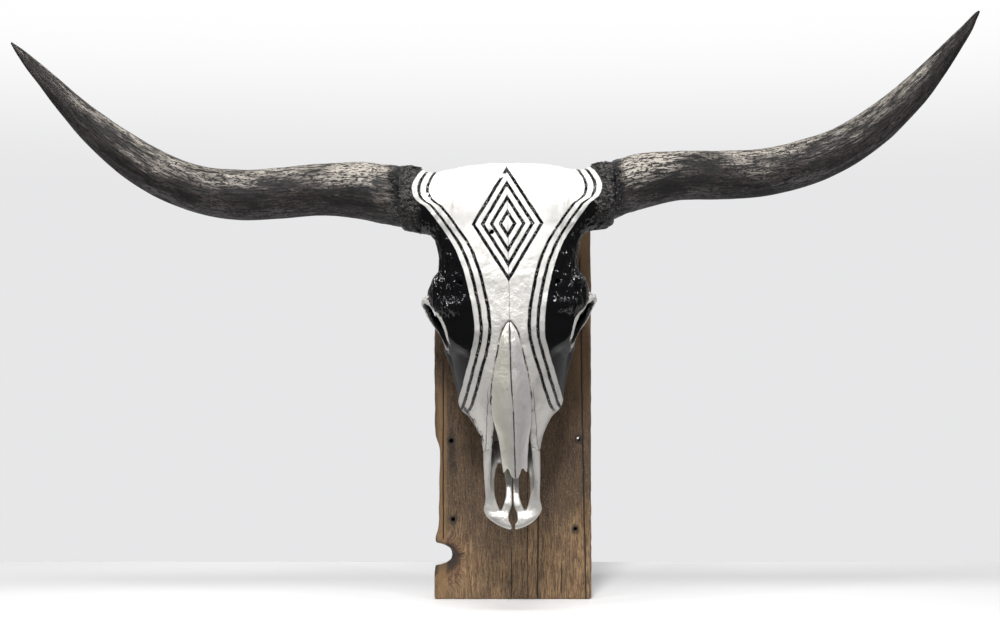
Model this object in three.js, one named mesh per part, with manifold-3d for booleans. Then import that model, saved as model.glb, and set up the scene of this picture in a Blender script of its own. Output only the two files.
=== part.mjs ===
// A painted longhorn cow skull on a reclaimed plank, life size, in millimetres.
//
// The skull is laid out in its own frame first: x across the head, y from the forehead back
// towards the plank, z up, with z = 0 at the poll and the muzzle at z = -515. A group then
// turns it a little and sets it on the plank. The part's own frame has its origin in the
// middle of the plank's back face, which lies on the wall: +x right, +y into the wall, +z up.
import * as THREE from "three";
import { mergeVertices } from "three/addons/utils/BufferGeometryUtils.js";
import Module from "manifold-3d";

const wasm = await Module();
wasm.setup();

// Driving sizes.
const plank = { width: 235, height: 600, thickness: 38 };
const skull = { length: 515, depth: 165, tiltDeg: 1.1, muzzleOffset: -0.7, pollHeight: 337 };
const joint = 0.3; // the gap left between two pieces that touch
const hornJoint = 149; // where the horn starts, from the midline

const SIDES = [-1, 1]; // the head's two halves: -1 on the viewer's left, +1 on the right

// ---------------------------------------------------------------- curves and solids

// A smooth curve through [z, value] pairs that never swings past them (monotone cubic).
function profile(pairs) {
  const points = [...pairs].sort((a, b) => a[0] - b[0]);
  const last = points.length - 1;
  const rise = points.slice(1).map((p, i) => (p[1] - points[i][1]) / (p[0] - points[i][0]));
  const slope = points.map((_, i) => {
    if (i === 0) return rise[0];
    if (i === last) return rise[last - 1];
    if (rise[i - 1] * rise[i] <= 0) return 0;
    return (2 * rise[i - 1] * rise[i]) / (rise[i - 1] + rise[i]);
  });
  return (z) => {
    if (z <= points[0][0]) return points[0][1];
    if (z >= points[last][0]) return points[last][1];
    const i = points.findIndex((p) => p[0] > z) - 1;
    const width = points[i + 1][0] - points[i][0];
    const t = (z - points[i][0]) / width;
    const [a, b] = [points[i][1], points[i + 1][1]];
    const keep = (1 + 2 * t) * (1 - t) ** 2;
    const ease = t * t * (3 - 2 * t);
    return a * keep + b * ease + width * (slope[i] * t * (1 - t) ** 2 - slope[i + 1] * t * t * (1 - t));
  };
}

// The heights from top to bottom at which a body is sliced.
function heights(top, bottom, count) {
  return Array.from({ length: count + 1 }, (_, i) => top + ((bottom - top) * i) / count);
}

// One slice across the head: a front arc and a back arc that meet at the widest depth.
function slice(z, { half, front, wide, back, frontPower = 2, backPower = 2, shift = 0 }, count) {
  return Array.from({ length: count }, (_, i) => {
    const angle = (i / count) * 2 * Math.PI;
    const [c, s] = [Math.cos(angle), Math.sin(angle)];
    const power = 2 / (s < 0 ? frontPower : backPower);
    const reach = s < 0 ? wide - front : back - wide;
    const x = half * Math.sign(c) * Math.abs(c) ** power;
    const y = wide + reach * Math.sign(s) * Math.abs(s) ** power;
    return new THREE.Vector3(x + shift, y, z);
  });
}

// A closed skin over rings of points, capped at both ends by a fan.
function skinOver(rings) {
  const count = rings[0].length;
  const points = rings.flat();
  const faces = [];
  for (let r = 0; r + 1 < rings.length; r++)
    for (let i = 0; i < count; i++) {
      const [a, b] = [r * count + i, r * count + ((i + 1) % count)];
      faces.push(a, b, a + count, b, b + count, a + count);
    }
  for (const [ring, first] of [[rings[0], 0], [rings.at(-1), (rings.length - 1) * count]]) {
    const middle = ring.reduce((sum, p) => sum.clone().add(p), new THREE.Vector3()).divideScalar(count);
    const hub = points.push(middle) - 1;
    for (let i = 0; i < count; i++) {
      const [a, b] = [first + i, first + ((i + 1) % count)];
      faces.push(...(first === 0 ? [b, a, hub] : [a, b, hub]));
    }
  }
  return new THREE.BufferGeometry().setFromPoints(points).setIndex(faces);
}

// A geometry as a solid that manifold-3d can join and cut. It is turned outside out if need be.
function solid(geometry) {
  const bare = geometry.clone();
  bare.deleteAttribute("normal");
  bare.deleteAttribute("uv");
  const merged = mergeVertices(bare, 1e-4);
  const vertProperties = merged.attributes.position.array;
  const triVerts = new Uint32Array(merged.index.array);
  const made = new wasm.Manifold(new wasm.Mesh({ numProp: 3, vertProperties, triVerts }));
  if (made.volume() > 0) return made;
  return new wasm.Manifold(new wasm.Mesh({ numProp: 3, vertProperties, triVerts: triVerts.reverse() }));
}

// A solid back as a three.js geometry.
function geometryOf(made) {
  const mesh = made.getMesh();
  const positions = new THREE.BufferAttribute(new Float32Array(mesh.vertProperties), 3);
  const geometry = new THREE.BufferGeometry().setAttribute("position", positions);
  geometry.setIndex(new THREE.BufferAttribute(mesh.triVerts, 1));
  geometry.computeVertexNormals();
  return geometry;
}

const join = (...solids) => solids.flat().reduce((sum, one) => sum.add(one));

// An egg shape with its half-lengths along x, y and z, turned by angles about them.
function egg(centre, radii, turn = [0, 0, 0], detail = 8) {
  const geometry = new THREE.SphereGeometry(1, detail, Math.round(detail * 0.6));
  geometry.scale(...radii);
  geometry.applyMatrix4(new THREE.Matrix4().makeRotationFromEuler(new THREE.Euler(...turn)));
  return solid(geometry.translate(...centre));
}

// A round bar along a smooth line through points, with a radius at each of them. flat squeezes
// it across x, as on a bone strap.
function bar(points, radii, { sides = 6, steps = 5, flat = 1 } = {}) {
  const line = new THREE.CatmullRomCurve3(points.map((p) => new THREE.Vector3(...p)));
  const radiusAt = profile(radii.map((r, i) => [i / (radii.length - 1), r]));
  const out = new THREE.Vector3(0.31, 0.55, 0.77);
  const rings = heights(0, 1, steps).map((t) => {
    const along = line.getTangent(t);
    out.addScaledVector(along, -out.dot(along)).normalize();
    const aside = along.clone().cross(out);
    return Array.from({ length: sides }, (_, k) => {
      const angle = (k / sides) * 2 * Math.PI;
      const spoke = out.clone().multiplyScalar(Math.cos(angle)).addScaledVector(aside, Math.sin(angle));
      spoke.multiplyScalar(radiusAt(t));
      spoke.x *= flat;
      return line.getPoint(t).add(spoke);
    });
  });
  return solid(skinOver(rings));
}

// ---------------------------------------------------------------- the head's outline
// Half-widths and depths down the head, measured as on a real skull of this length.

const forehead = {
  half: profile([[0, 22], [-2, 46], [-5, 68], [-9, 90], [-14, 108], [-22, 118], [-45, 121], [-70, 116],
    [-90, 108.5], [-110, 101.5], [-132, 97], [-150, 98], [-166, 104], [-181, 112], [-200, 105],
    [-218, 97], [-240, 87], [-256, 76], [-266, 62]]),
  front: profile([[0, 20], [-2, 13], [-5, 8], [-12, 4], [-26, 1], [-60, 0], [-150, 1], [-190, 3],
    [-230, 5], [-266, 15]]),
  wide: profile([[0, 27], [-12, 26], [-100, 24], [-181, 26], [-266, 34]]),
  back: profile([[0, 34], [-4, 46], [-14, 52], [-60, 50], [-120, 42], [-181, 40], [-266, 52]]),
};

const braincase = {
  half: profile([[-13, 34], [-18, 60], [-28, 72], [-60, 76], [-95, 71], [-130, 64], [-170, 57],
    [-225, 54]]),
  back: profile([[-13, 74], [-18, 104], [-28, 124], [-50, 133], [-90, 131], [-140, 124], [-190, 116],
    [-225, 112]]),
};

// The palate is a straight slope from the muzzle up to the last teeth.
const palateSlope = 0.37;
const palateDepth = (z) => 47 + (z + skull.length) * palateSlope;

const face = {
  half: profile([[-190, 54], [-206, 63], [-225, 75], [-245, 83], [-262, 84.5], [-285, 81], [-305, 77.5],
    [-333, 71.5], [-347, 65.5], [-361, 57], [-375, 49.5], [-389, 43.5], [-403, 40.8], [-445, 40],
    [-473, 38.8], [-487, 41.4], [-494, 38.5], [-501, 32], [-508, 22], [-513, 11], [-515, 5]]),
  front: profile([[-190, 6], [-222, 4], [-262, 5], [-300, 7], [-333, 11], [-355, 17], [-389, 25],
    [-420, 33], [-445, 39], [-473, 44], [-487, 43], [-500, 38.5], [-510, 37], [-515, 40]]),
  wide: profile([[-190, 78], [-225, 90], [-262, 94], [-333, 84], [-375, 74], [-415, 66], [-445, 58],
    [-487, 51], [-508, 44], [-515, 43]]),
  back: profile([[-190, 106], [-222, 112], [-238, 126], [-250, 140], [-262, 141], [-333, 114],
    [-389, 93.5], [-445, 73], [-487, 57.5], [-508, 50], [-515, 46]]),
  frontPower: profile([[-190, 2.4], [-300, 2.3], [-345, 2.2], [-389, 3], [-445, 4.5], [-515, 3]]),
  backPower: profile([[-190, 2.4], [-250, 4], [-389, 4.5], [-515, 3.5]]),
};

// ---------------------------------------------------------------- parts of the head

function foreheadPlate() {
  const levels = [...heights(0, -18, 4), ...heights(-30, -266, 12)];
  const rings = levels.map((z) => {
    const front = { half: forehead.half(z), front: forehead.front(z), frontPower: 2.9 };
    return slice(z, { ...front, wide: forehead.wide(z), back: forehead.back(z), backPower: 2.4 }, 18);
  });
  return solid(skinOver(rings));
}

function braincaseBody() {
  const rings = heights(-13, -225, 7).map((z) => {
    const [half, back] = [braincase.half(z), braincase.back(z)];
    return slice(z, { half, front: 22, wide: 80, back, backPower: 2.5 }, 14);
  });
  return solid(skinOver(rings));
}

function faceBody() {
  const levels = [...heights(-190, -478, 14), ...heights(-487, -515, 4)];
  const rings = levels.map((z) => {
    const size = { half: face.half(z), front: face.front(z), wide: face.wide(z), back: face.back(z) };
    return slice(z, { ...size, frontPower: face.frontPower(z), backPower: face.backPower(z) }, 18);
  });
  return solid(skinOver(rings));
}

// The eye socket's rim lies on a plane that faces out, forward and a little down the nose.
const socket = {
  centre: [95.5, 54, -222],
  length: 39,
  depth: 34,
  rim: 6,
  inner: 0.88, // the hollow's share of the rim's size
  outTurn: 0.6,
  frontTurn: 0.3,
};

function socketMatrix(side) {
  const turn = new THREE.Matrix4().makeRotationY(side * (Math.PI / 2 + socket.outTurn));
  const tip = new THREE.Matrix4().makeRotationZ(-side * socket.frontTurn);
  const [x, y, z] = socket.centre;
  return new THREE.Matrix4().makeTranslation(side * x, y, z).multiply(tip).multiply(turn);
}

function socketRim(side) {
  const ring = new THREE.TorusGeometry(1, 0.2, 6, 16).scale(socket.length, socket.depth, socket.rim / 0.2);
  return solid(ring.applyMatrix4(socketMatrix(side)));
}

// The hollow of the socket, a blunt cone that narrows and leans back towards the brain.
function socketHollow(side) {
  const steps = [[-60, 0.3], [-44, 0.64], [-22, 0.88], [0, 1], [40, 1.3]];
  const rings = steps.map(([depth, size]) => {
    const lean = Math.min(depth, 0) * 0.25;
    return Array.from({ length: 12 }, (_, k) => {
      const angle = (k / 12) * 2 * Math.PI;
      const x = Math.cos(angle) * socket.length * socket.inner * size + lean;
      return new THREE.Vector3(x, Math.sin(angle) * socket.depth * socket.inner * size, depth);
    });
  });
  return solid(skinOver(rings).applyMatrix4(socketMatrix(side)));
}

// The cheek bone below the socket, and the arch from it back to the ear.
function cheekArch(side) {
  const path = [[82, 92, -256], [95, 97, -222], [101, 94, -190], [93, 95, -150], [90, 99, -115],
    [88, 103, -78]];
  const points = path.map(([x, y, z]) => [side * x, y, z]);
  return bar(points, [10, 11.5, 11, 9.5, 10.5, 15], { sides: 6, steps: 7, flat: 0.62 });
}

function behindSocket(side) {
  const path = [[97, 24, -168], [108, 48, -180], [106, 72, -187], [100, 94, -186]];
  const points = path.map(([x, y, z]) => [side * x, y, z]);
  return bar(points, [14, 9, 8, 11], { sides: 6, steps: 4, flat: 0.8 });
}

function earRegion(side) {
  const spur = [[side * 66, 118, -50], [side * 65, 140, -54], [side * 60, 161, -62]];
  return join(
    egg([side * 74, 100, -60], [33, 30, 30]), // the flare behind the ear
    egg([side * 90, 112, -72], [13, 11, 17]),
    egg([side * 46, 127, -88], [12, 16, 19]), // the ear's hollow bone
    bar(spur, [17, 10, 4], { steps: 4, flat: 0.6 }),
  );
}

// The two knuckles that meet the neck, and the bone between them.
function neckKnuckles() {
  const keel = [[0, 132, -34], [0, 142, -70], [0, 134, -120], [0, 122, -190]];
  return join(
    SIDES.map((side) => egg([side * 31, 141, -22], [21, 21, 17], [0.5, 0, side * 0.35])),
    bar(keel, [20, 19, 17, 15], { steps: 3 }),
  );
}

function palateWings(side) {
  const points = [[side * 27, 112, -190], [side * 30, 136, -212], [side * 33, 133, -250]];
  return bar(points, [11, 13, 12], { steps: 4, flat: 0.45 });
}

function hornNeck(side) {
  const path = [[62, 38, -56], [95, 39, -59], [123, 38, -53], [139, 38, -45], [160, 38, -41]];
  const points = path.map(([x, y, z]) => [side * x, y, z]);
  return bar(points, [34, 39, 41.5, 42.5, 42.5], { sides: 14, steps: 4 });
}

// Six cheek teeth a side, smallest in front, each with the ridges of a grazing tooth outside.
const crown = { height: 38, sunk: 17 }; // how much of it is sunk in the jaw
const teeth = [
  { z: -272, length: 28, width: 23, x: 58 },
  { z: -298, length: 26, width: 24, x: 58.5 },
  { z: -322, length: 23, width: 22, x: 56 },
  { z: -342, length: 18, width: 19, x: 49.5 },
  { z: -359, length: 17, width: 17, x: 42.5 },
  { z: -374, length: 14, width: 14, x: 35.5 },
];

function cheekTooth(side, { z, length, width, x }) {
  const [h, w] = [length / 2 - 0.6, width / 2];
  const inside = [[-h, -w * 0.8], [0, -w], [h, -w * 0.8]];
  const outside = [[h, w], [h * 0.5, w * 0.8], [0, w], [-h * 0.5, w * 0.8], [-h, w]];
  const outline = new THREE.Shape([...inside, ...outside].map((p) => new THREE.Vector2(...p)));
  const tooth = new THREE.ExtrudeGeometry(outline, { depth: crown.height, bevelEnabled: false });
  const across = new THREE.Vector3(side, 0, 0);
  const along = new THREE.Vector3(0, -palateSlope, -1).normalize();
  const down = new THREE.Vector3(0, 1, -palateSlope).normalize();
  const place = new THREE.Matrix4().makeBasis(along, across, down);
  place.setPosition(side * x, palateDepth(z) - crown.sunk, z);
  return solid(tooth.applyMatrix4(place));
}

// The vault of the hard palate, hollowed between the tooth rows.
function palateVault() {
  const half = profile([[-226, 30], [-262, 41], [-333, 40], [-375, 28], [-430, 20], [-486, 10]]);
  const depth = profile([[-226, 26], [-262, 17], [-333, 14], [-389, 9], [-486, 3]]);
  const rings = heights(-226, -486, 6).map((z) => {
    const floor = palateDepth(z) + 4;
    const vault = { half: half(z), front: floor - depth(z), frontPower: 3.5 };
    return slice(z, { ...vault, wide: floor + 20, back: floor + 60 }, 10);
  });
  return solid(skinOver(rings));
}

// The nose's hollow: under the nasal bones, open in front of them and between them and the cheeks.
const noseHalf = profile([[-326, 12], [-340, 19], [-355, 22], [-389, 26.5], [-415, 29], [-445, 30.5],
  [-470, 28], [-482, 22], [-494, 10]]);

// Its floor follows the palate, then ramps up to the muzzle's front.
function noseFloor(z) {
  const ramp = THREE.MathUtils.clamp((-452 - z) / 42, 0, 1);
  return palateDepth(z) - 13 - 9 * ramp ** 1.5;
}

function noseHollow() {
  const rings = heights(-326, -494, 8).map((z) => {
    const floor = noseFloor(z);
    const half = noseHalf(z);
    return slice(z, { half, front: -20, wide: floor - 16, back: floor, frontPower: 12, backPower: 3 }, 12);
  });
  return solid(skinOver(rings));
}

// The two slots in the muzzle's floor, through which the plank shows.
function muzzleSlot(side) {
  const half = profile([[-424, 2], [-436, 6.4], [-450, 8.2], [-466, 8], [-478, 5.5], [-488, 1.5]]);
  const rings = heights(-424, -488, 6).map((z) =>
    slice(z, { half: half(z), front: 20, wide: 60, back: 110, shift: side * 17.4 }, 8),
  );
  return solid(skinOver(rings));
}

// The slit along the midline of the muzzle, with its round hole near the lip.
function muzzleSlit() {
  const half = profile([[-376, 0.4], [-410, 0.8], [-428, 1.4], [-480, 1.5], [-485, 3], [-491, 5.4],
    [-498, 6.6], [-504, 5.2], [-508, 2.6], [-512, 2.2], [-518, 4.5]]);
  const levels = [...heights(-374, -480, 4), ...heights(-486, -520, 6)];
  const rings = levels.map((z) => slice(z, { half: half(z), front: 15, wide: 60, back: 120 }, 4));
  return solid(skinOver(rings));
}

// ---------------------------------------------------------------- the nasal bones

// The pair's half-width and arch, and how far the seam between them leans off the midline.
const nasal = {
  top: -221,
  tip: -442,
  thickness: 4.5,
  groove: 2, // how far the seam sinks in
  half: profile([[-221, 1.5], [-228, 7], [-240, 12], [-265, 17.5], [-300, 24.5], [-333, 28], [-352, 27.5],
    [-389, 21], [-428, 17.5], [-442, 16]]),
  front: profile([[-221, 3], [-236, 0.2], [-255, -1.5], [-300, -0.5], [-340, 3.2], [-389, 12.5],
    [-442, 23]]),
  end: profile([[0, -442], [0.18, -441], [0.36, -437], [0.5, -429], [0.62, -428], [0.75, -431],
    [1, -435.5]]), // two prongs a side with a notch between
  arch: profile([[-221, 1], [-250, 3], [-300, 7.5], [-333, 10], [-389, 9.5], [-442, 9]]),
  lean: profile([[-221, 0], [-320, 0.5], [-389, 2.8], [-442, 4.6]]),
  seam: profile([[-221, 0], [-300, 0.8], [-350, 3.2], [-442, 4.2]]),
};

// One nasal bone. With a grow, it is the block that clears its bed in the head instead.
function nasalBone(side, grow = 0) {
  const columns = grow ? 3 : 5;
  const levels = [...heights(nasal.top, -250, 2), ...heights(-270, nasal.tip, 8)];
  const ring = (z, lift) => {
    const front = [];
    const back = [];
    for (let c = 0; c <= columns; c++) {
      const across = c / columns;
      const fromTip = THREE.MathUtils.smoothstep((nasal.top - z) / (nasal.top - nasal.tip), 0.55, 1);
      const level = grow ? z : z + fromTip * (nasal.end(across) - nasal.tip);
      const seam = nasal.seam(level) + side * (grow ? -3 : joint / 2);
      const edge = nasal.lean(level) + side * (nasal.half(level) + grow);
      const x = seam + (edge - seam) * across;
      const sink = nasal.groove * (1 - across) ** 3 * Math.min((nasal.top - level) / 60, 1);
      const y = nasal.front(level) + nasal.arch(level) * across ** 2.2 + sink;
      front.push(new THREE.Vector3(x, y - (grow ? 25 : 0), level + lift));
      back.unshift(new THREE.Vector3(x, y + nasal.thickness + grow, level + lift));
    }
    return [...front, ...back];
  };
  const rings = levels.map((z) => ring(z, 0));
  return solid(skinOver(grow ? [ring(nasal.top, grow), ...rings] : rings));
}

// ---------------------------------------------------------------- the horns

// Each horn's middle line and radius [x, y, z, radius], from inside its joint at the head to the tip.
const hornLines = {
  [-1]: [
    [-134, 37, -46, 44.5], [-179, 41, -37.5, 41.8], [-207, 43, -32.5, 40], [-264, 48, -30.3, 36.7],
    [-321, 49, -34.1, 35.9], [-376, 43, -36, 35.6], [-430, 29, -28.4, 32.6], [-481, 12, -7.6, 30.6],
    [-531, -6, 26.1, 26.8], [-580, -25, 71.4, 19.3], [-629, -41, 127, 10.7], [-652, -47, 153.5, 5.6],
    [-664, -49, 167.5, 1.2]],
  [1]: [
    [134, 37, -44, 44.5], [159, 39, -36.5, 42.5], [188, 42, -27.3, 38.9], [245, 47, -20.2, 34.9],
    [302, 50, -20.3, 34.3], [358, 45, -18.5, 33.6], [412, 34, -8.7, 32.3], [465, 18, 10.6, 29.5],
    [517, -1, 43.8, 25.6], [567, -20, 91, 19.4], [618, -38, 152.4, 9.2], [636, -43, 178, 3.8],
    [642, -44.5, 186, 1.2]],
};

function horn(side) {
  const line = hornLines[side];
  const turn = bar(line.map((p) => p.slice(0, 3)), line.map((p) => p[3]), { sides: 14, steps: 19 });
  const inner = new THREE.BoxGeometry((hornJoint + joint) * 2, 300, 300);
  return turn.subtract(solid(inner));
}

// ---------------------------------------------------------------- cranium and muzzle

// The head's solid without its nasal bones and horns.
function wholeHead() {
  const wayToBrain = [[0, 126, 10], [0, 124, -25], [0, 112, -62]];
  const base = join(
    foreheadPlate(),
    braincaseBody(),
    faceBody(),
    neckKnuckles(),
    SIDES.map((side) => hornNeck(side)),
    SIDES.map((side) => earRegion(side)),
    SIDES.map((side) => palateWings(side)),
    SIDES.map((side) => egg([side * 63, 74, -334], [10, 13, 15])), // the cheek's knob
    SIDES.map((side) => egg([side * 77, 57, -222], [30, 42, 47], [0, 0, 0], 12)), // round the eye sockets
  );
  const sockets = join(SIDES.map((side) => socketHollow(side)));
  const added = join(
    SIDES.map((side) => cheekArch(side)),
    SIDES.map((side) => behindSocket(side)),
    SIDES.map((side) => socketRim(side)),
  );
  const cuts = join(
    palateVault(),
    noseHollow(),
    SIDES.map((side) => muzzleSlot(side)),
    muzzleSlit(),
    SIDES.map((side) => nasalBone(side, joint * 1.5)),
    bar(wayToBrain, [19, 17, 10], { sides: 12, steps: 3 }),
    egg([0, 142, -218], [21, 30, 34], [0.2, 0, 0]), // the nose's back door
    SIDES.map((side) => egg([side * 60, 78, -378], [5, 5, 10], [0, side * 0.5, 0])), // cheek's nerve hole
  );
  const ends = SIDES.map((side) =>
    solid(new THREE.BoxGeometry(200, 300, 300).translate(side * (hornJoint + 100), 40, -46)),
  );
  const crowns = SIDES.flatMap((side) => teeth.map((tooth) => cheekTooth(side, tooth)));
  return join(join(base.subtract(sockets), added).subtract(cuts), crowns).subtract(join(ends));
}

// The plane that parts the muzzle bones from the cheek: it slopes up towards the midline.
function muzzleBox(side, gap) {
  const reach = 140;
  const shape = new THREE.Shape();
  shape.moveTo(0, -380 - gap).lineTo(side * 70, -425 - gap);
  shape.lineTo(side * 70, -400 - reach).lineTo(0, -400 - reach);
  const block = new THREE.ExtrudeGeometry(shape, { depth: 160, bevelEnabled: false });
  return solid(block.applyMatrix4(new THREE.Matrix4().makeRotationX(Math.PI / 2)).translate(0, 150, 0));
}

// ---------------------------------------------------------------- the plank

// A weathered board with a wavy left edge, a bite out of it low down, and four nail holes. Places
// are from the middle of its foot.
const biteDepth = 31;
const nails = {
  radius: 3,
  depth: 12,
  through: [98, 239],
  blind: [[-92, 236], [-89, 119], [93, 105]],
};

function nailHole([x, z], depth) {
  const hole = new THREE.CylinderGeometry(nails.radius, nails.radius, depth + 5, 12);
  return solid(hole.translate(x, -plank.thickness - 2.5 + depth / 2, z));
}

function plankBody() {
  const { width, height, thickness } = plank;
  const [left, right] = [-width / 2, width / 2];
  const shape = new THREE.Shape();
  shape.moveTo(left, 0).lineTo(right, 0).lineTo(right - 0.5, 190);
  shape.lineTo(right - 1.5, height - 6).lineTo(left + 6, height);
  shape.bezierCurveTo(left + 1, height * 0.75, left, height * 0.58, left + 0.5, height * 0.42);
  shape.bezierCurveTo(left + 2, height * 0.35, left + 9, height * 0.38, left + 7, height * 0.29);
  shape.bezierCurveTo(left + 5, height * 0.22, left + 7, height * 0.17, left + 1, 86);
  shape.bezierCurveTo(left + 12, 82, left + 22, 84, left + biteDepth - 4, 72);
  shape.bezierCurveTo(left + biteDepth + 3, 62, left + 28, 46, left + 14, 44);
  shape.lineTo(left, 43);
  const extrusion = { depth: thickness, bevelEnabled: false, curveSegments: 6 };
  const board = new THREE.ExtrudeGeometry(shape, extrusion);
  // the shape's y goes up, and its depth towards -y
  const body = solid(board.applyMatrix4(new THREE.Matrix4().makeRotationX(Math.PI / 2)));
  const blindHoles = nails.blind.map((at) => nailHole(at, nails.depth));
  const holes = [nailHole(nails.through, thickness + 5), ...blindHoles];
  return geometryOf(body.subtract(join(holes))).translate(0, 0, -height / 2);
}

// ---------------------------------------------------------------- the whole part

function named(name, geometry, colour, roughness, metalness = 0) {
  const material = new THREE.MeshStandardMaterial({ color: colour, roughness, metalness });
  const mesh = new THREE.Mesh(geometry, material);
  mesh.name = name;
  return mesh;
}

const silver = [0xd9d6d0, 0.32, 0.55];
const blackBone = [0x16151a, 0.25];
const darkHorn = [0x4a4340, 0.55];
const oldWood = [0x75604c, 0.85];

const head = wholeHead();
const muzzles = SIDES.map((side) => muzzleBox(side, joint));
const cranium = head.subtract(join(SIDES.map((side) => muzzleBox(side, 0))));

const skullGroup = new THREE.Group();
skullGroup.add(named("cranium", geometryOf(cranium), ...blackBone));
SIDES.forEach((side, i) => {
  const label = side < 0 ? "left" : "right";
  skullGroup.add(named(`premaxilla_${label}`, geometryOf(head.intersect(muzzles[i])), ...silver));
  skullGroup.add(named(`nasal_${label}`, geometryOf(nasalBone(side)), ...silver));
  skullGroup.add(named(`horn_${label}`, geometryOf(horn(side)), ...darkHorn));
});
skullGroup.rotation.y = -THREE.MathUtils.degToRad(skull.tiltDeg);
const lean = skull.length * Math.sin(THREE.MathUtils.degToRad(skull.tiltDeg));
skullGroup.position.set(skull.muzzleOffset - lean, -plank.thickness - skull.depth - joint, skull.pollHeight);

const part = new THREE.Group();
part.add(skullGroup);
part.add(named("plank", plankBody(), ...oldWood));

export default part;
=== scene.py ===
import itertools
import math
import bpy
import numpy as np
from mathutils import Matrix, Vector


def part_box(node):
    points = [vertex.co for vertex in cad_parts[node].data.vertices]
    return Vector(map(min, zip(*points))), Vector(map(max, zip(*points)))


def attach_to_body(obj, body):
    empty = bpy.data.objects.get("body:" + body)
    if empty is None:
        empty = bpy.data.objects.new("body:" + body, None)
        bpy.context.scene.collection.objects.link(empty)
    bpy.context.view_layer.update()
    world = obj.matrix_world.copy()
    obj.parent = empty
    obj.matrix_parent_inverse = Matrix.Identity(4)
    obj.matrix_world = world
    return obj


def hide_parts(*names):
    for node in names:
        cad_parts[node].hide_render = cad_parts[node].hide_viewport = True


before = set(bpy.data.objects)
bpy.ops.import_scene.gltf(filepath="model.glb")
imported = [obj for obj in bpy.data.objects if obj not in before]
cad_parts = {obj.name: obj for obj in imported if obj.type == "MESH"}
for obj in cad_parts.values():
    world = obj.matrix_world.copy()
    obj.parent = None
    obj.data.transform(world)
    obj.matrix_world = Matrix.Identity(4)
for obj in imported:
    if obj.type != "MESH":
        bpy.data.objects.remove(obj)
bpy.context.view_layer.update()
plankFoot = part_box("plank")[0]  # its lowest corner, in metres
print("frame loaded")

# The head is laid out in a frame of its own, in millimetres: x across, y back from the
# forehead towards the plank, z up from the poll, so that the muzzle's tip is at z = -515.
headSize = {
    "length": 515,
    "depth": 165,
    "tilt": 1.1,  # degrees, to the viewer's left at the muzzle
    "muzzleOffset": -0.7,
    "pollHeight": 337,
    "hornJoint": 149,  # where the horn starts, from the midline
    "gap": 0.3,  # between pieces that touch
    "hole": (-22, -97),  # the small hole in the forehead
    "mostTriangles": 196000,
    "seed": 11,
}


def headPlace():
    lean = headSize["length"] * math.sin(math.radians(headSize["tilt"]))
    front = plankFoot[1] * 1000 - headSize["depth"] - headSize["gap"]
    spot = (headSize["muzzleOffset"] - lean, front, headSize["pollHeight"])
    turn = Matrix.Rotation(math.radians(-headSize["tilt"]), 4, "Y")
    return Matrix.Translation([v / 1000 for v in spot]) @ turn @ Matrix.Scale(0.001, 4)


def newObject(name, data):
    made = bpy.data.objects.new(name, data)
    bpy.context.scene.collection.objects.link(made)
    return made


# Camera, lights and stage

view = {"lens": 53.064, "sensor": 36, "at": (-0.0194, -2.238, 0.131)}
lamps = [  # name, place, aim, width, height, watts
    ("key", (-0.15, -1.35, 1.0), (0, -0.15, 0.32), 0.3, 0.2, 21),
    ("left", (-1.5, -1.0, 1.1), (0, -0.15, 0.1), 0.2, 0.3, 9),
    ("right", (1.6, -1.0, 1.0), (0, -0.15, 0.1), 0.2, 0.3, 7),
    ("top", (0.0, -0.75, 1.5), (0, -0.15, 0.15), 1.2, 0.2, 13),
]
studio = {"low": (0.8, 0.8, 0.81, 1), "high": (1, 1, 1, 1), "front": 0.15, "behind": 0.35, "above": 0.2}
floor = {"back": 0.29, "front": -0.29, "side": 1.5, "pale": (0.9, 0.9, 0.9, 1),
         "cloud": (0.82, 0.82, 0.83, 1)}


def addCamera():
    data = bpy.data.cameras.new("camera")
    data.lens = view["lens"]
    data.sensor_width = view["sensor"]
    camera = newObject("camera", data)
    camera.location = view["at"]
    camera.rotation_euler = (math.pi / 2, 0, 0)
    bpy.context.scene.camera = camera


def addLamps():
    for name, place, aim, width, height, watts in lamps:
        data = bpy.data.lights.new(name, "AREA")
        data.shape = "RECTANGLE"
        data.size, data.size_y, data.energy = width, height, watts
        lamp = newObject(name, data)
        lamp.location = place
        away = Matrix.Translation(place).translation - Matrix.Translation(aim).translation
        lamp.rotation_euler = away.to_track_quat("Z", "Y").to_euler()


# A method that adds one Math node to the wires it is called on
def mathNode(operation, reflected=False):
    def method(self, *others):
        values = (*others, self) if reflected else (self, *others)
        return self.graph.add("ShaderNodeMath", {"operation": operation}, dict(enumerate(values)))

    return method


# A wire carries one socket, and arithmetic on it adds Math nodes
class Wire:
    __add__, __radd__ = mathNode("ADD"), mathNode("ADD", True)
    __sub__, __rsub__ = mathNode("SUBTRACT"), mathNode("SUBTRACT", True)
    __mul__, __rmul__ = mathNode("MULTIPLY"), mathNode("MULTIPLY", True)
    __truediv__, __pow__, __abs__ = mathNode("DIVIDE"), mathNode("POWER"), mathNode("ABSOLUTE")
    least, most, sign = mathNode("MINIMUM"), mathNode("MAXIMUM"), mathNode("SIGN")

    def __init__(self, graph, socket):
        self.graph = graph
        self.socket = socket

    # 0 below low and 1 above high, with a soft step between them; falls where low is the higher
    def ease(self, low, high):
        return self.graph.add("ShaderNodeMapRange", {"interpolation_type": "SMOOTHSTEP"},
                              {0: self, 1: low, 2: high, 3: 0.0, 4: 1.0})

    # 1 within half a width of a value and 0 beyond it
    def line(self, middle, width, soft):
        return 1 - abs(self - middle).ease(width / 2 - soft, width / 2 + soft)


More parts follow.
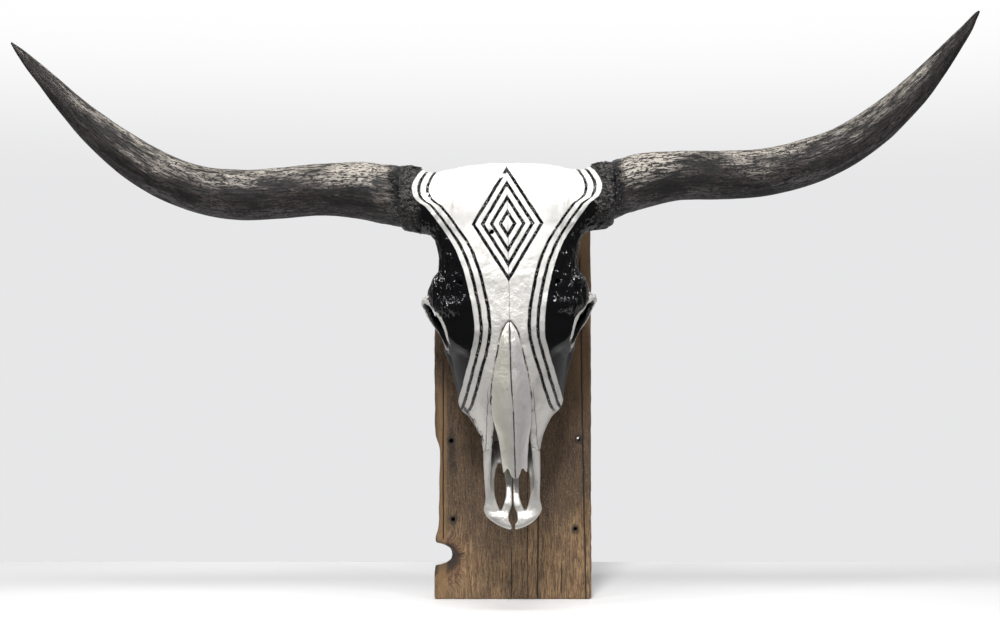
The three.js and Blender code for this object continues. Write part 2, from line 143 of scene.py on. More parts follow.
class Graph:
    def __init__(self, tree):
        self.tree = tree

    def add(self, kind, settings=None, values=None, out=0):
        node = self.tree.nodes.new(kind)
        for key, value in (settings or {}).items():
            if key == "points":
                self.setPoints(node, value)
            else:
                setattr(node, key, value)
        for key, value in (values or {}).items():
            if isinstance(value, Wire):
                self.tree.links.new(value.socket, node.inputs[key])
            else:
                node.inputs[key].default_value = value
        return Wire(self, node.outputs[out]) if len(node.outputs) else None

    def setPoints(self, node, points):
        curve = node.mapping.curves[0]
        while len(curve.points) < len(points):
            curve.points.new(0.5, 0.5)
        for point, spot in zip(curve.points, points):
            point.location = spot
        node.mapping.update()

    def split(self, vector):
        node = self.add("ShaderNodeSeparateXYZ", None, {0: vector}).socket.node
        return [Wire(self, output) for output in node.outputs]

    def vector(self, operation, *values):
        return self.add("ShaderNodeVectorMath", {"operation": operation}, dict(enumerate(values)))

    # Noise between 0 and 1 with bumps of a size, in the units of the place, drawn out by stretch
    def noise(self, at, size, detail=3.0, stretch=(1, 1, 1), rough=0.55, distortion=0.0):
        spot = self.vector("MULTIPLY", at, tuple(1 / (size * s) for s in stretch))
        return self.add("ShaderNodeTexNoise", None, {
            "Vector": spot, "Scale": 1.0, "Detail": detail, "Roughness": rough, "Distortion": distortion})

    def mix(self, factor, first, second):
        return self.add("ShaderNodeMix", {"data_type": "RGBA"}, {0: factor, 6: first, 7: second}, 2)

    # Lays colours over a first one, each through a mask of its own
    def layered(self, colour, *layers):
        for mask, shade in layers:
            colour = self.mix(mask, colour, shade)
        return colour

    def bump(self, height, depth):
        return self.add("ShaderNodeBump", None, {"Height": height, "Distance": depth, "Strength": 1.0})

    def joined(self, x, y, z):
        return self.add("ShaderNodeCombineXYZ", None, {0: x, 1: y, 2: z})

    def named(self, name, kind):
        return self.add("GeometryNodeInputNamedAttribute", {"data_type": kind}, {"Name": name})

    # A place as seen from a frame with an origin, a turn and a unit of its own
    def placed(self, vector, location, rotation, unit):
        return self.add("ShaderNodeMapping", {"vector_type": "TEXTURE"}, {
            "Vector": vector, "Location": location, "Rotation": rotation, "Scale": (unit, unit, unit)})

    # The place on the piece, in millimetres in a frame with an origin and a turn
    def onPiece(self, location=(0, 0, 0), rotation=(0, 0, 0)):
        return self.placed(self.add("ShaderNodeTexCoord", out="Object"), location, rotation, 0.001)

    def finish(self, values):
        shader = self.add("ShaderNodeBsdfPrincipled", None, values)
        self.add("ShaderNodeOutputMaterial", None, {0: shader})


def newMaterial(name):
    material = bpy.data.materials.new(name)
    material.use_nodes = True
    material.node_tree.nodes.clear()
    return material, Graph(material.node_tree)


# A colour from its six-digit sRGB code, as the linear values that nodes take
def tint(code):
    parts = [int(code[i:i + 2], 16) / 255 for i in (0, 2, 4)]
    return (*(p / 12.92 if p <= 0.04045 else ((p + 0.055) / 1.055) ** 2.4 for p in parts), 1.0)


# Shapes as distance fields: negative inside, in millimetres

# A soft step, for shares between 0 and 1
def eased(t):
    return t * t * (3 - 2 * t)


# A smooth curve through pairs of a place and a value, with no overshoot
def profile(pairs):
    at, value = np.array(sorted(pairs), float).T
    width = np.diff(at)
    rise = np.diff(value) / width
    slope = np.concatenate([rise[:1], np.zeros(len(at) - 2), rise[-1:]])
    both = rise[:-1] * rise[1:]
    total = np.where(both > 0, rise[:-1] + rise[1:], 1)
    slope[1:-1] = np.where(both > 0, 2 * both / total, 0)

    def look(z):
        z = np.clip(z, at[0], at[-1])
        i = np.clip(np.searchsorted(at, z, side="right") - 1, 0, len(at) - 2)
        t = (z - at[i]) / width[i]
        keep = (1 + 2 * t) * (1 - t) ** 2
        bend = slope[i] * t * (1 - t) ** 2 - slope[i + 1] * t * t * (1 - t)
        return value[i] * keep + value[i + 1] * eased(t) + width[i] * bend

    return look


def smoothMin(a, b, blend):
    mix = np.clip(0.5 + 0.5 * (b - a) / blend, 0, 1)
    return b + (a - b) * mix - blend * mix * (1 - mix)


def smoothMax(a, b, blend):
    return -smoothMin(-a, -b, blend)


# A body sliced across z: a front arc and a back arc that meet at the widest depth
def loft(top, bottom, half, front, wide, back, frontPower=2, backPower=2, shift=0):
    sizes = [s if callable(s) else (lambda z, s=s: s + 0 * z)
             for s in (half, front, wide, back, frontPower, backPower)]

    def distance(x, y, z):
        halfZ, frontZ, wideZ, backZ, frontN, backN = (s(z) for s in sizes)
        off = y - wideZ
        power = np.where(off < 0, frontN, backN)
        reach = np.where(off < 0, wideZ - frontZ, backZ - wideZ)
        rho = (np.abs((x - shift) / halfZ) ** power + np.abs(off / reach) ** power) ** (1 / power)
        steps = np.gradient(rho, x.ravel(), y.ravel(), z.ravel())
        steep = np.sqrt(sum(s * s for s in steps))
        d = (rho - 1) / np.maximum(steep, 0.002)
        return np.maximum(d, np.maximum(z - top, bottom - z))

    levels = np.linspace(bottom, top, 60)
    widest = sizes[0](levels).max()
    low = (shift - widest, sizes[1](levels).min(), bottom)
    high = (shift + widest, sizes[3](levels).max(), top)
    return distance, low, high


# A place as seen from a centre, in a frame that is turned
def turned(place, centre, turn):
    back = np.array(turn.transposed())
    off = [p - c for p, c in zip(place, centre)]
    return [sum(back[i][j] * off[j] for j in range(3)) for i in range(3)]


def boxRound(centre, reach):
    return [c - reach for c in centre], [c + reach for c in centre]


def ball(centre, radii, turn=(0, 0, 0)):
    rx, ry, rz = (Matrix.Rotation(angle, 3, axis) for angle, axis in zip(turn, "XYZ"))

    def distance(x, y, z):
        local = turned((x, y, z), centre, rx @ ry @ rz)
        near = np.sqrt(sum((p / r) ** 2 for p, r in zip(local, radii)))
        steep = np.sqrt(sum((p / r ** 2) ** 2 for p, r in zip(local, radii)))
        return near * (near - 1) / np.maximum(steep, 1e-4)

    return distance, *boxRound(centre, max(radii))


# Points and radii along a smooth line through a few of them
def smoothLine(points, radii, spans=4):
    points = np.array(points, float)
    ends = [2 * points[0] - points[1], *points, 2 * points[-1] - points[-2]]
    line = []
    for a, b, c, d in zip(ends, ends[1:], ends[2:], ends[3:]):
        for t in np.arange(spans) / spans:
            line.append(0.5 * (2 * b + (c - a) * t + (2 * a - 5 * b + 4 * c - d) * t * t
                               + (3 * b - a - 3 * c + d) * t ** 3))
    line.append(points[-1])
    sizes = profile([(i, r) for i, r in enumerate(radii)])(np.linspace(0, len(radii) - 1, len(line)))
    return np.array(line), sizes


# A round bar along a smooth line. flat squeezes it across x.
def bar(points, radii, flat=1.0, spans=4):
    line, sizes = smoothLine(points, radii, spans)

    def distance(x, y, z):
        best = None
        for a, b, ra, rb in zip(line, line[1:], sizes, sizes[1:]):
            along = (b - a) / (flat, 1, 1)
            px, py, pz = (x - a[0]) / flat, y - a[1], z - a[2]
            t = np.clip((px * along[0] + py * along[1] + pz * along[2]) / (along @ along), 0, 1)
            gap = np.sqrt((px - t * along[0]) ** 2 + (py - t * along[1]) ** 2 + (pz - t * along[2]) ** 2)
            gap = gap - (ra + (rb - ra) * t)
            best = gap if best is None else np.minimum(best, gap)
        return best

    reach = max(radii)
    return distance, line.min(0) - reach, line.max(0) + reach


# A grid of distances, which starts as if every shape were 60 mm away
class Field:
    def __init__(self, low, high, step):
        self.step = step
        self.axes = [np.arange(a, b + step, step, dtype=np.float32) for a, b in zip(low, high)]
        self.value = np.full([len(a) for a in self.axes], 60, np.float32)

    def blend(self, shape, soft, rule, sign):
        distance, low, high = shape
        pad = max(soft, 16) + 2.5 * self.step
        cut = tuple(slice(*np.searchsorted(axis, (a - pad, b + pad)))
                    for axis, a, b in zip(self.axes, low, high))
        x, y, z = (axis[c] for axis, c in zip(self.axes, cut))
        if min(len(x), len(y), len(z)) < 2:
            return
        found = distance(x[:, None, None], y[None, :, None], z[None, None, :])
        self.value[cut] = rule(self.value[cut], sign * found, max(soft, 0.01))

    def join(self, shape, soft=4):
        self.blend(shape, soft, smoothMin, 1)

    def cut(self, shape, soft=2):
        self.blend(shape, soft, smoothMax, -1)

    def like(self, axes, value):
        field = Field.__new__(Field)
        field.step, field.axes, field.value = self.step, axes, value
        return field

    # The field over both halves of the head, from the half where x is positive
    def mirrored(self):
        x, y, z = self.axes
        return self.like([np.concatenate([-x[:0:-1], x]), y, z],
                         np.concatenate([self.value[:0:-1], self.value]))

    # Only what lies under another field given as values, such as one side of a plane
    def kept(self, other):
        return self.like(self.axes, np.maximum(self.value, other))

    def grid(self):
        x, y, z = self.axes
        return x[:, None, None], y[None, :, None], z[None, None, :]


# The surface of a field: a point in each cell that it crosses, a face round each crossed edge
def skinOf(field):
    value = field.value.copy()
    for axis in range(3):  # closed at the edges of the grid
        np.moveaxis(value, axis, 0)[[0, -1]] = 1
    inside = value < 0
    nx, ny, nz = value.shape
    count = sum(inside[i:nx - 1 + i, j:ny - 1 + j, k:nz - 1 + k].astype(np.int8)
                for i, j, k in itertools.product((0, 1), repeat=3))
    crossed = (count > 0) & (count < 8)
    cells = np.argwhere(crossed)
    number = np.full(crossed.shape, -1, np.int64)
    number[crossed] = np.arange(len(cells))
    total = np.zeros((len(cells), 3))
    hits = np.zeros(len(cells))
    quads = []
    for axis in range(3):
        u, v = (a for a in range(3) if a != axis)
        for first, second in itertools.product((0, 1), repeat=2):
            start = np.zeros(3, int)
            start[u], start[v] = first, second
            end = start.copy()
            end[axis] = 1
            a = value[tuple((cells + start).T)]
            b = value[tuple((cells + end).T)]
            hit = (a < 0) != (b < 0)
            t = a[hit] / (a[hit] - b[hit])
            total[hit] += start + t[:, None] * (end - start)
            hits[hit] += 1
        flow = np.moveaxis(inside, axis, 0)
        change = np.moveaxis(flow[:-1] != flow[1:], 0, axis)
        spots = np.argwhere(change)
        spots = spots[(spots[:, u] > 0) & (spots[:, v] > 0)]
        ring = []
        for du, dv in ((0, 0), (1, 0), (1, 1), (0, 1)):
            cell = spots.copy()
            cell[:, u] -= du
            cell[:, v] -= dv
            ring.append(number[tuple(cell.T)])
        ring = np.stack(ring, 1)
        outward = inside[tuple(spots.T)] != (axis == 1)
        quads.append(np.where(outward[:, None], ring, ring[:, ::-1]))
    low = np.array([axis[0] for axis in field.axes])
    points = low + field.step * (cells + total / hits[:, None])
    return points, np.concatenate(quads)


# Evens the points out without shrinking the shape
def relaxed(points, quads, rounds=2):
    a = quads.ravel()
    b = np.roll(quads, -1, 1).ravel()
    ends = np.concatenate([a, b])
    starts = np.concatenate([b, a])
    count = np.bincount(ends, minlength=len(points))[:, None]
    for amount in [0.5, -0.53] * rounds:
        near = np.stack([np.bincount(ends, points[starts, c], len(points)) for c in range(3)], 1)
        points = points + amount * (near / count - points)
    return points


def normalsOf(points, quads):
    corner = points[quads]
    face = np.cross(corner[:, 2] - corner[:, 0], corner[:, 3] - corner[:, 1])
    total = np.zeros_like(points)
    for k in range(4):
        for c in range(3):
            total[:, c] += np.bincount(quads[:, k], face[:, c], len(points))
    return total / np.maximum(np.linalg.norm(total, axis=1, keepdims=True), 1e-9)


# Smooth random values between -1 and 1, with bumps of a size
def roughness(points, size, seed):
    count = 32  # the values repeat after this many bumps
    table = np.random.default_rng(seed).uniform(-1, 1, (count, count, count))
    cell = points / size
    base = np.floor(cell).astype(int)
    part = eased(cell - base)
    total = np.zeros(len(points))
    for corner in itertools.product((0, 1), repeat=3):
        weight = np.prod(np.where(corner, part, 1 - part), axis=1)
        i, j, k = ((base + corner) % count).T
        total += weight * table[i, j, k]
    return total


def meshFrom(name, points, quads, place, material):
    matrix = np.array(place)
    mesh = bpy.data.meshes.new(name)
    mesh.from_pydata(points @ matrix[:3, :3].T + matrix[:3, 3], [], quads)
    mesh.polygons.foreach_set("use_smooth", np.ones(len(quads), bool))
    mesh.materials.append(material)
    mesh.update()
    print(f"{name}: {len(quads) * 2} triangles")
    return newObject(name, mesh)


# What a modifier makes of an object, as a plain mesh, with the modifier taken off again
def applied(source, modifier):
    graph = bpy.context.evaluated_depsgraph_get()
    mesh = bpy.data.meshes.new_from_object(source.evaluated_get(graph), depsgraph=graph)
    source.modifiers.remove(modifier)
    return mesh


# Drops triangles where a piece is nearly flat, until few enough are left
def thinned(piece, most):
    piece.data.calc_loop_triangles()
    count = len(piece.data.loop_triangles)
    if count <= most:
        return
    modifier = piece.modifiers.new("thin", "DECIMATE")
    modifier.ratio = most / count
    piece.data = applied(piece, modifier)
    piece.data.polygons.foreach_set("use_smooth", np.ones(len(piece.data.polygons), bool))
    print(f"{piece.name} thinned to {len(piece.data.polygons)} triangles")


def attach(piece, slot, *nodes):
    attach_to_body(piece, "root")
    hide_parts(*nodes)


# The skull

fine = 1.75  # the step of the head's grid
finer = 1.2  # and of the nose's

forehead = {
    "half": profile([(0, 22), (-2, 46), (-5, 68), (-9, 90), (-14, 108), (-22, 118), (-45, 121),
                     (-70, 116), (-90, 108.5), (-110, 101.5), (-132, 97), (-150, 98), (-166, 104),
                     (-181, 112), (-200, 105), (-218, 97), (-240, 87), (-256, 76), (-266, 62)]),
    "front": profile([(0, 20), (-2, 13), (-5, 8), (-12, 4), (-26, 1), (-60, 0), (-150, 1),
                      (-190, 3), (-230, 5), (-266, 15)]),
    "wide": profile([(0, 27), (-12, 26), (-100, 24), (-181, 26), (-266, 34)]),
    "back": profile([(0, 34), (-4, 46), (-14, 52), (-60, 50), (-120, 42), (-181, 40), (-266, 52)]),
}
braincase = {
    "half": profile([(-13, 34), (-18, 60), (-28, 72), (-60, 76), (-95, 71), (-130, 64), (-170, 57),
                     (-225, 54)]),
    "back": profile([(-13, 74), (-18, 104), (-28, 124), (-50, 133), (-90, 131), (-140, 124),
                     (-190, 116), (-225, 112)]),
}
face = {
    "half": profile([(-190, 54), (-206, 63), (-225, 75), (-245, 83), (-262, 84.5), (-285, 81),
                     (-305, 77.5), (-333, 71.5), (-347, 65.5), (-361, 57), (-375, 49.5), (-389, 43.5),
                     (-403, 40.8), (-445, 40), (-473, 38.8), (-487, 41.4), (-494, 38.5), (-501, 32),
                     (-508, 22), (-513, 11), (-515, 5)]),
    "front": profile([(-190, 6), (-222, 4), (-262, 5), (-300, 7), (-333, 11), (-355, 17), (-389, 25),
                      (-420, 33), (-445, 39), (-473, 44), (-487, 43), (-500, 38.5), (-510, 37),
                      (-515, 40)]),
    "wide": profile([(-190, 78), (-225, 90), (-262, 94), (-333, 84), (-375, 74), (-415, 66),
                     (-445, 58), (-487, 51), (-508, 44), (-515, 43)]),
    "back": profile([(-190, 106), (-222, 112), (-238, 126), (-250, 140), (-262, 141), (-333, 114),
                     (-389, 93.5), (-445, 73), (-487, 57.5), (-508, 50), (-515, 46)]),
    "frontPower": profile([(-190, 2.4), (-300, 2.3), (-345, 2.2), (-389, 3), (-445, 4.5), (-515, 3)]),
    "backPower": profile([(-190, 2.4), (-250, 4), (-389, 4.5), (-515, 3.5)]),
}
palate = {"slope": 0.37, "muzzleDepth": 47}
socket = {"centre": (95.5, 54, -222), "length": 39, "depth": 34, "rim": 5.5, "outTurn": 0.6,
          "frontTurn": 0.3, "inner": 0.88}


def palateDepth(z):
    return palate["muzzleDepth"] + (z + headSize["length"]) * palate["slope"]


# Turns a place in the head's frame into one in the eye socket's: w points out of it
def socketLocal(x, y, z):
    turn = Matrix.Rotation(-socket["frontTurn"], 3, "Z") @ Matrix.Rotation(
        math.pi / 2 + socket["outTurn"], 3, "Y")
    return turned((x, y, z), socket["centre"], turn)


def socketRim():
    def distance(x, y, z):
        u, v, w = socketLocal(x, y, z)
        q = np.sqrt((u / socket["length"]) ** 2 + (v / socket["depth"]) ** 2) + 1e-6
        away = np.sqrt(u * u + v * v) * (1 - 1 / q)
        return np.sqrt((away * 0.85) ** 2 + w * w) - socket["rim"]

    return distance, *boxRound(socket["centre"], socket["length"] + 12)


# The hollow of the eye socket: a blunt cone that narrows and leans back towards the brain
def socketHollow():
    size = profile([(-60, 0.3), (-44, 0.64), (-22, 0.88), (0, 1), (40, 1.3)])

    def distance(x, y, z):
        u, v, w = socketLocal(x, y, z)
        scale = socket["inner"] * size(w)
        u = u - np.minimum(w, 0) * 0.25
        q = np.sqrt((u / (socket["length"] * scale)) ** 2 + (v / (socket["depth"] * scale)) ** 2)
        return np.maximum((q - 1) * socket["depth"] * scale, np.maximum(-60 - w, w - 40))

    return distance, *boxRound(socket["centre"], 75)


# The nasal bones, a thin arched sheet on each side of a seam
nasal = {
    "top": -221,
    "tip": -442,
    "thickness": 4.5,
    "half": [(-221, 1.5), (-228, 7), (-240, 12), (-265, 17.5), (-300, 24.5), (-333, 28),
             (-352, 27.5), (-389, 21), (-428, 17.5), (-442, 16)],
    "front": profile([(-221, 3), (-236, 0.2), (-255, -1.5), (-300, -0.5), (-340, 3.2), (-389, 12.5),
                      (-442, 23)]),
    "arch": profile([(-221, 1), (-250, 3), (-300, 7.5), (-333, 10), (-389, 9.5), (-442, 9)]),
    "groove": 2.0,
    "lean": [(-221, 0), (-320, 0.5), (-389, 2.8), (-442, 4.6)],
    "seam": [(-221, 0), (-300, 0.8), (-350, 3.2), (-442, 4.2)],
    # the free end: two prongs a side with a notch between them
    "end": profile([(0, -441), (0.18, -440), (0.36, -436), (0.5, -428), (0.62, -427), (0.75, -430),
                    (1, -434.5)]),
}


def nasalSurface(x, z, side):
    seam, lean, half = (profile(nasal[curve])(z) for curve in ("seam", "lean", "half"))
    edge = lean + side * half
    across = np.clip((x - seam) / (edge - seam), 0, 1)
    groove = nasal["groove"] * (1 - across) ** 3 * np.clip((nasal["top"] - z) / 60, 0, 1)
    return seam, edge, across, nasal["front"](z) + nasal["arch"](z) * across ** 2.2 + groove


# The block in front of the nasal bones, which clears their bed. It reaches to the free air.
def nasalBed(clear):
    def distance(x, y, z):
        sides = []
        for side in (-1, 1):
            seam, edge, across, surface = nasalSurface(x, z, side)
            under = y - surface - nasal["thickness"] - clear
            flank = side * (x - edge) - clear
            sides.append(np.maximum(under, np.maximum(flank, side * (seam - x) - 2)))
        ends = np.maximum(z - nasal["top"] - clear, nasal["tip"] - 12 - z)
        return np.maximum(np.minimum(*sides), ends)

    return distance, (-34, -30, nasal["tip"] - 12), (34, 36, nasal["top"])


def nasalBone(side):
    def distance(x, y, z):
        seam, edge, across, surface = nasalSurface(x, z, side)
        lift = 1 / np.sqrt(1 + (nasal["arch"](z) * 2.2 * across ** 1.2 / np.abs(edge - seam)) ** 2)
        middle = nasal["thickness"] / 2
        sheet = (np.abs(y - surface - middle) - middle) * lift
        inner = side * (seam - x) + headSize["gap"] / 2
        rim = np.maximum(inner, side * (x - edge))
        ends = np.maximum(z - nasal["top"], (nasal["end"](across) - z) * 0.8)
        return smoothMax(smoothMax(sheet, rim, 1.6), ends, 1.6)

    return distance, (-34, -4, nasal["tip"]), (38, 38, nasal["top"])


# How deep the nose's hollow reaches: it follows the palate, then ramps up to the muzzle's front
def noseFloor(z):
    return palateDepth(z) - 13 - 9 * np.clip((-452 - z) / 42, 0, 1) ** 1.5


# All the shapes of the head's right half, on any grid
def carveHead(field):
    bottom = headSize["length"]
    field.join(loft(0, -266, **forehead, frontPower=2.9, backPower=2.4))
    field.join(loft(-13, -225, braincase["half"], 22, 80, braincase["back"], 2, 2.5), 9)
    field.join(loft(-190, -bottom, **face), 6)
    field.join(bar([(0, 132, -34), (0, 142, -70), (0, 134, -120), (0, 122, -190)], (20, 19, 17, 15)), 9)
    field.join(ball((31, 139, -20), (20, 18, 15), (0.5, 0, 0.35)), 8)  # a knuckle of the neck joint
    field.join(ball((22, 140, -40), (14, 15, 19), (0.2, 0.3, 0)), 9)
    field.cut(ball((56, 142, -20), (11, 16, 24), (0, 0.3, 0)), 8)
    field.join(ball((74, 100, -60), (33, 30, 30)), 9)  # the flare behind the ear
    field.join(ball((90, 112, -72), (13, 11, 17)), 6)
    field.join(ball((46, 127, -88), (12, 16, 19)), 4)  # the ear's hollow bone
    field.join(bar([(66, 118, -50), (65, 140, -54), (60, 161, -62)], (17, 10, 4), 0.6), 5)
    field.join(bar([(27, 112, -190), (30, 136, -212), (33, 133, -250)], (11, 13, 12), 0.45), 5)
    field.join(ball((77, 57, -222), (30, 42, 47)), 9)  # round the eye socket
    neck = [(62, 34, -56), (95, 35, -59), (123, 37, -53), (139, 38, -45), (160, 38, -41)]
    field.join(bar(neck, (34, 39, 41.5, 42.5, 42.5)), 14)
    field.join(ball((63, 74, -334), (10, 13, 15)), 12)  # the cheek's knob, and the ridge up from it
    field.join(bar([(66, 80, -322), (76, 88, -290), (86, 92, -262)], (5, 6, 8)), 12)
    field.join(bar([(60, 12, -196), (80, 12, -200), (98, 22, -196)], (8, 9, 8)), 12)  # brow
    x, y, z = field.grid()
    beyond = np.clip(x - 92, 0, 60) * 0.5 + np.clip(-150 - z, 0, 60) * 0.5
    field.value = smoothMax(field.value, forehead["front"](z) - 1.5 - y - beyond, 5)  # flat in front
    field.cut(socketHollow(), 4)
    arch = [(82, 92, -256), (95, 97, -222), (101, 94, -190), (93, 95, -150), (90, 99, -115),
            (88, 103, -78)]
    field.join(bar(arch, (10, 11.5, 11, 9.5, 10.5, 15), 0.62), 7)
    field.join(bar([(97, 24, -168), (108, 48, -180), (106, 72, -187), (100, 94, -186)],
                   (14, 9, 8, 11), 0.8), 7)
    field.join(socketRim(), 5)
    groove = [(84, -2, -96), (71, -3, -150), (65, -2, -168), (64, -1.5, -200), (61, -2, -242)]
    field.cut(bar(groove, (3.2, 4.4, 5.4, 4.6, 3)), 5)  # the vein's groove above the socket
    field.cut(bar([(66, -4, -164), (68, 12, -168)], (3, 2.4)), 2)
    hollows = {"half": profile([(-226, 30), (-262, 41), (-333, 40), (-375, 28), (-430, 20), (-486, 10)]),
               "depth": profile([(-226, 26), (-262, 17), (-333, 14), (-389, 9), (-486, 3)])}
    field.cut(loft(-226, -486, hollows["half"], lambda z: palateDepth(z) + 4 - hollows["depth"](z),
                   lambda z: palateDepth(z) + 24, lambda z: palateDepth(z) + 64, 3.5, 2), 3)
    noseHalf = profile([(-326, 12), (-340, 19), (-355, 22), (-389, 26.5), (-415, 29), (-445, 30.5),
                        (-470, 28), (-482, 22), (-494, 10)])
    field.cut(loft(-326, -494, noseHalf, -20, lambda z: noseFloor(z) - 16, noseFloor, 12, 3), 2.5)
    slot = profile([(-424, 2), (-436, 6.4), (-450, 8.2), (-466, 8), (-478, 5.5), (-488, 1.5)])
    field.cut(loft(-424, -488, slot, 20, 60, 110, shift=17.4), 2.5)
    slit = profile([(-376, 0.4), (-410, 0.6), (-428, 0.9), (-479, 1.0), (-485, 2.8), (-491, 5.2),
                    (-498, 6.6), (-504, 5.2), (-508, 2.6), (-512, 2.2), (-518, 4.5)])
    field.cut(loft(-376, -520, slit, 15, 60, 120), 1.6)
    field.cut(bar([(0, 126, 10), (0, 124, -25), (0, 112, -62)], (19, 17, 10)), 3)  # way to the brain
    field.cut(ball((0, 142, -218), (21, 30, 34), (0.2, 0, 0)), 4)  # the nose's back door
    field.cut(ball((60, 78, -378), (5, 5, 10), (0, 0.5, 0)), 2)  # the cheek's nerve hole
    x, y, z = field.grid()
    field.value = np.maximum(field.value, x - headSize["hornJoint"])


# The plane that parts the muzzle bones from the cheek, sloping up towards the midline
def aboveMuzzle(x, z):
    slope = 45 / 70
    wander = 1.1 * np.sin(x * 0.9) + 0.8 * np.sin(x * 2.1 + 1)
    return (z + 380 + slope * np.abs(x) + wander) / math.hypot(1, slope)


# Bone is never smooth: size, stretch and depth of its low swells and fine pits, of the folds on
# the temples, and of the lumps and grit on the rough burr where the horn starts
weather = [(22, 1, 0.5), (9, 1, 0.22), (5, 0.14, 3.0), (7, 1, 1.9), (3.5, 1, 1.2)]


def weathered(points, quads, seed):
    points = relaxed(points, quads)
    normals = normalsOf(points, quads)
    x = np.abs(points[:, 0])
    z = points[:, 2]
    burr = np.clip((x - 112) / 20, 0, 1)
    temple = np.clip((x - 56) / 16, 0, 1) * np.clip((z + 226) / 30, 0, 1) * (1 - burr)
    swells, pits, folds, lumps, grit = (
        roughness(points * (1, 1, stretch), size, seed + k) * depth
        for k, (size, stretch, depth) in enumerate(weather))
    crust = (lumps + grit) * burr * np.clip((headSize["hornJoint"] - x) / 4, 0, 1)
    offset = swells + pits + crust - np.abs(folds) * temple
    return points + normals * offset[:, None]


def addBone(field, name, paint, slot, node):
    points, quads = skinOf(field)
    points = weathered(points, quads, headSize["seed"])
    piece = meshFrom(name, points, quads, headPlace(), paint)
    thinned(piece, headSize["mostTriangles"])
    attach(piece, slot, node)


def buildHead(paint, nosePaint):
    half = Field((0, -16, -522), (headSize["hornJoint"] + 6, 172, 12), fine)
    carveHead(half)
    whole = half.mirrored()
    whole.cut(nasalBed(0.8), 0.6)
    holeX, holeZ = headSize["hole"]
    whole.cut(bar([(holeX, -8, holeZ), (holeX, 12, holeZ)], (3, 2.6)), 0.8)
    x, y, z = whole.grid()
    cranium = whole.kept(headSize["gap"] / 2 - aboveMuzzle(x, z))
    addBone(cranium, "skull_cranium", paint, "painted_skull", "cranium")
    half = Field((0, 0, -522), (62, 112, -372), finer)
    carveHead(half)
    both = half.mirrored()
    x, y, z = both.grid()
    gap = headSize["gap"] / 3
    for side, name in ((-1, "left"), (1, "right")):
        muzzle = both.kept(np.maximum(aboveMuzzle(x, z) + gap, gap - side * x))
        addBone(muzzle, f"muzzle_{name}", nosePaint, "painted_nose", f"premaxilla_{name}")
        bone = Field((-36, -6, -446), (40, 40, -216), finer)
        bone.join(nasalBone(side), 0)
        addBone(bone, f"nose_{name}", nosePaint, "painted_nose", f"nasal_{name}")


# The horns: a curve through each horn's middle, and one tree that skins both

horns = {
    "around": 144,
    "steps": 430,
    "lumps": 0.0016,
    "fibres": 0.0005,
    "burr": 0.0020,
    "ragged": 0.010,
    "lines": {  # places along the middle, and the radius at each
        -1: [(-149.3, 38.8, -43, 43.5), (-179, 41, -37.5, 41.8), (-207, 43, -32.5, 40),
             (-264, 48, -30.3, 36.7), (-321, 49, -34.1, 35.9), (-376, 43, -36, 35.6),
             (-430, 29, -28.4, 32.6), (-481, 12, -7.6, 30.6), (-531, -6, 26.1, 26.8),
             (-580, -25, 71.4, 19.3), (-629, -41, 127, 10.7), (-652, -47, 153.5, 5.6),
             (-664, -49, 167.5, 1.2)],
        1: [(149.3, 38.2, -39.5, 43.3), (188, 42, -27.3, 38.9), (245, 47, -20.2, 34.9),
            (302, 50, -20.3, 34.3), (358, 45, -18.5, 33.6), (412, 34, -8.7, 32.3),
            (465, 18, 10.6, 29.5), (517, -1, 43.8, 25.6), (567, -20, 91, 19.4),
            (618, -38, 152.4, 9.2), (636, -43, 178, 3.8), (642, -44.5, 186, 1.2)],
    },
}


# A place that runs round the horn and along it, for both its relief and its colour
def hornGrain(graph, along, ring):
    across = graph.vector("MULTIPLY", ring, (0.04, 0.04, 0))
    return graph.vector("ADD", across, graph.joined(0.0, 0.0, along))


# An empty tree that takes a geometry first and gives one back
def newTree(name, first, last, inputs):
    tree = bpy.data.node_groups.new(name, "GeometryNodeTree")
    tree.interface.new_socket(first, in_out="INPUT", socket_type="NodeSocketGeometry")
    for title, kind, value in inputs:
        item = tree.interface.new_socket(title, in_out="INPUT", socket_type=f"NodeSocket{kind}")
        item.default_value = value
    tree.interface.new_socket(last, in_out="OUTPUT", socket_type="NodeSocketGeometry")
    return tree, Graph(tree)


# The closing nodes of a tree: no instances left, and one material
def closeTree(graph, geometry, material):
    geometry = graph.add("GeometryNodeRealizeInstances", None, {"Geometry": geometry})
    geometry = graph.add("GeometryNodeSetMaterial", None, {"Geometry": geometry, "Material": material})
    graph.add("NodeGroupOutput", None, {0: geometry})


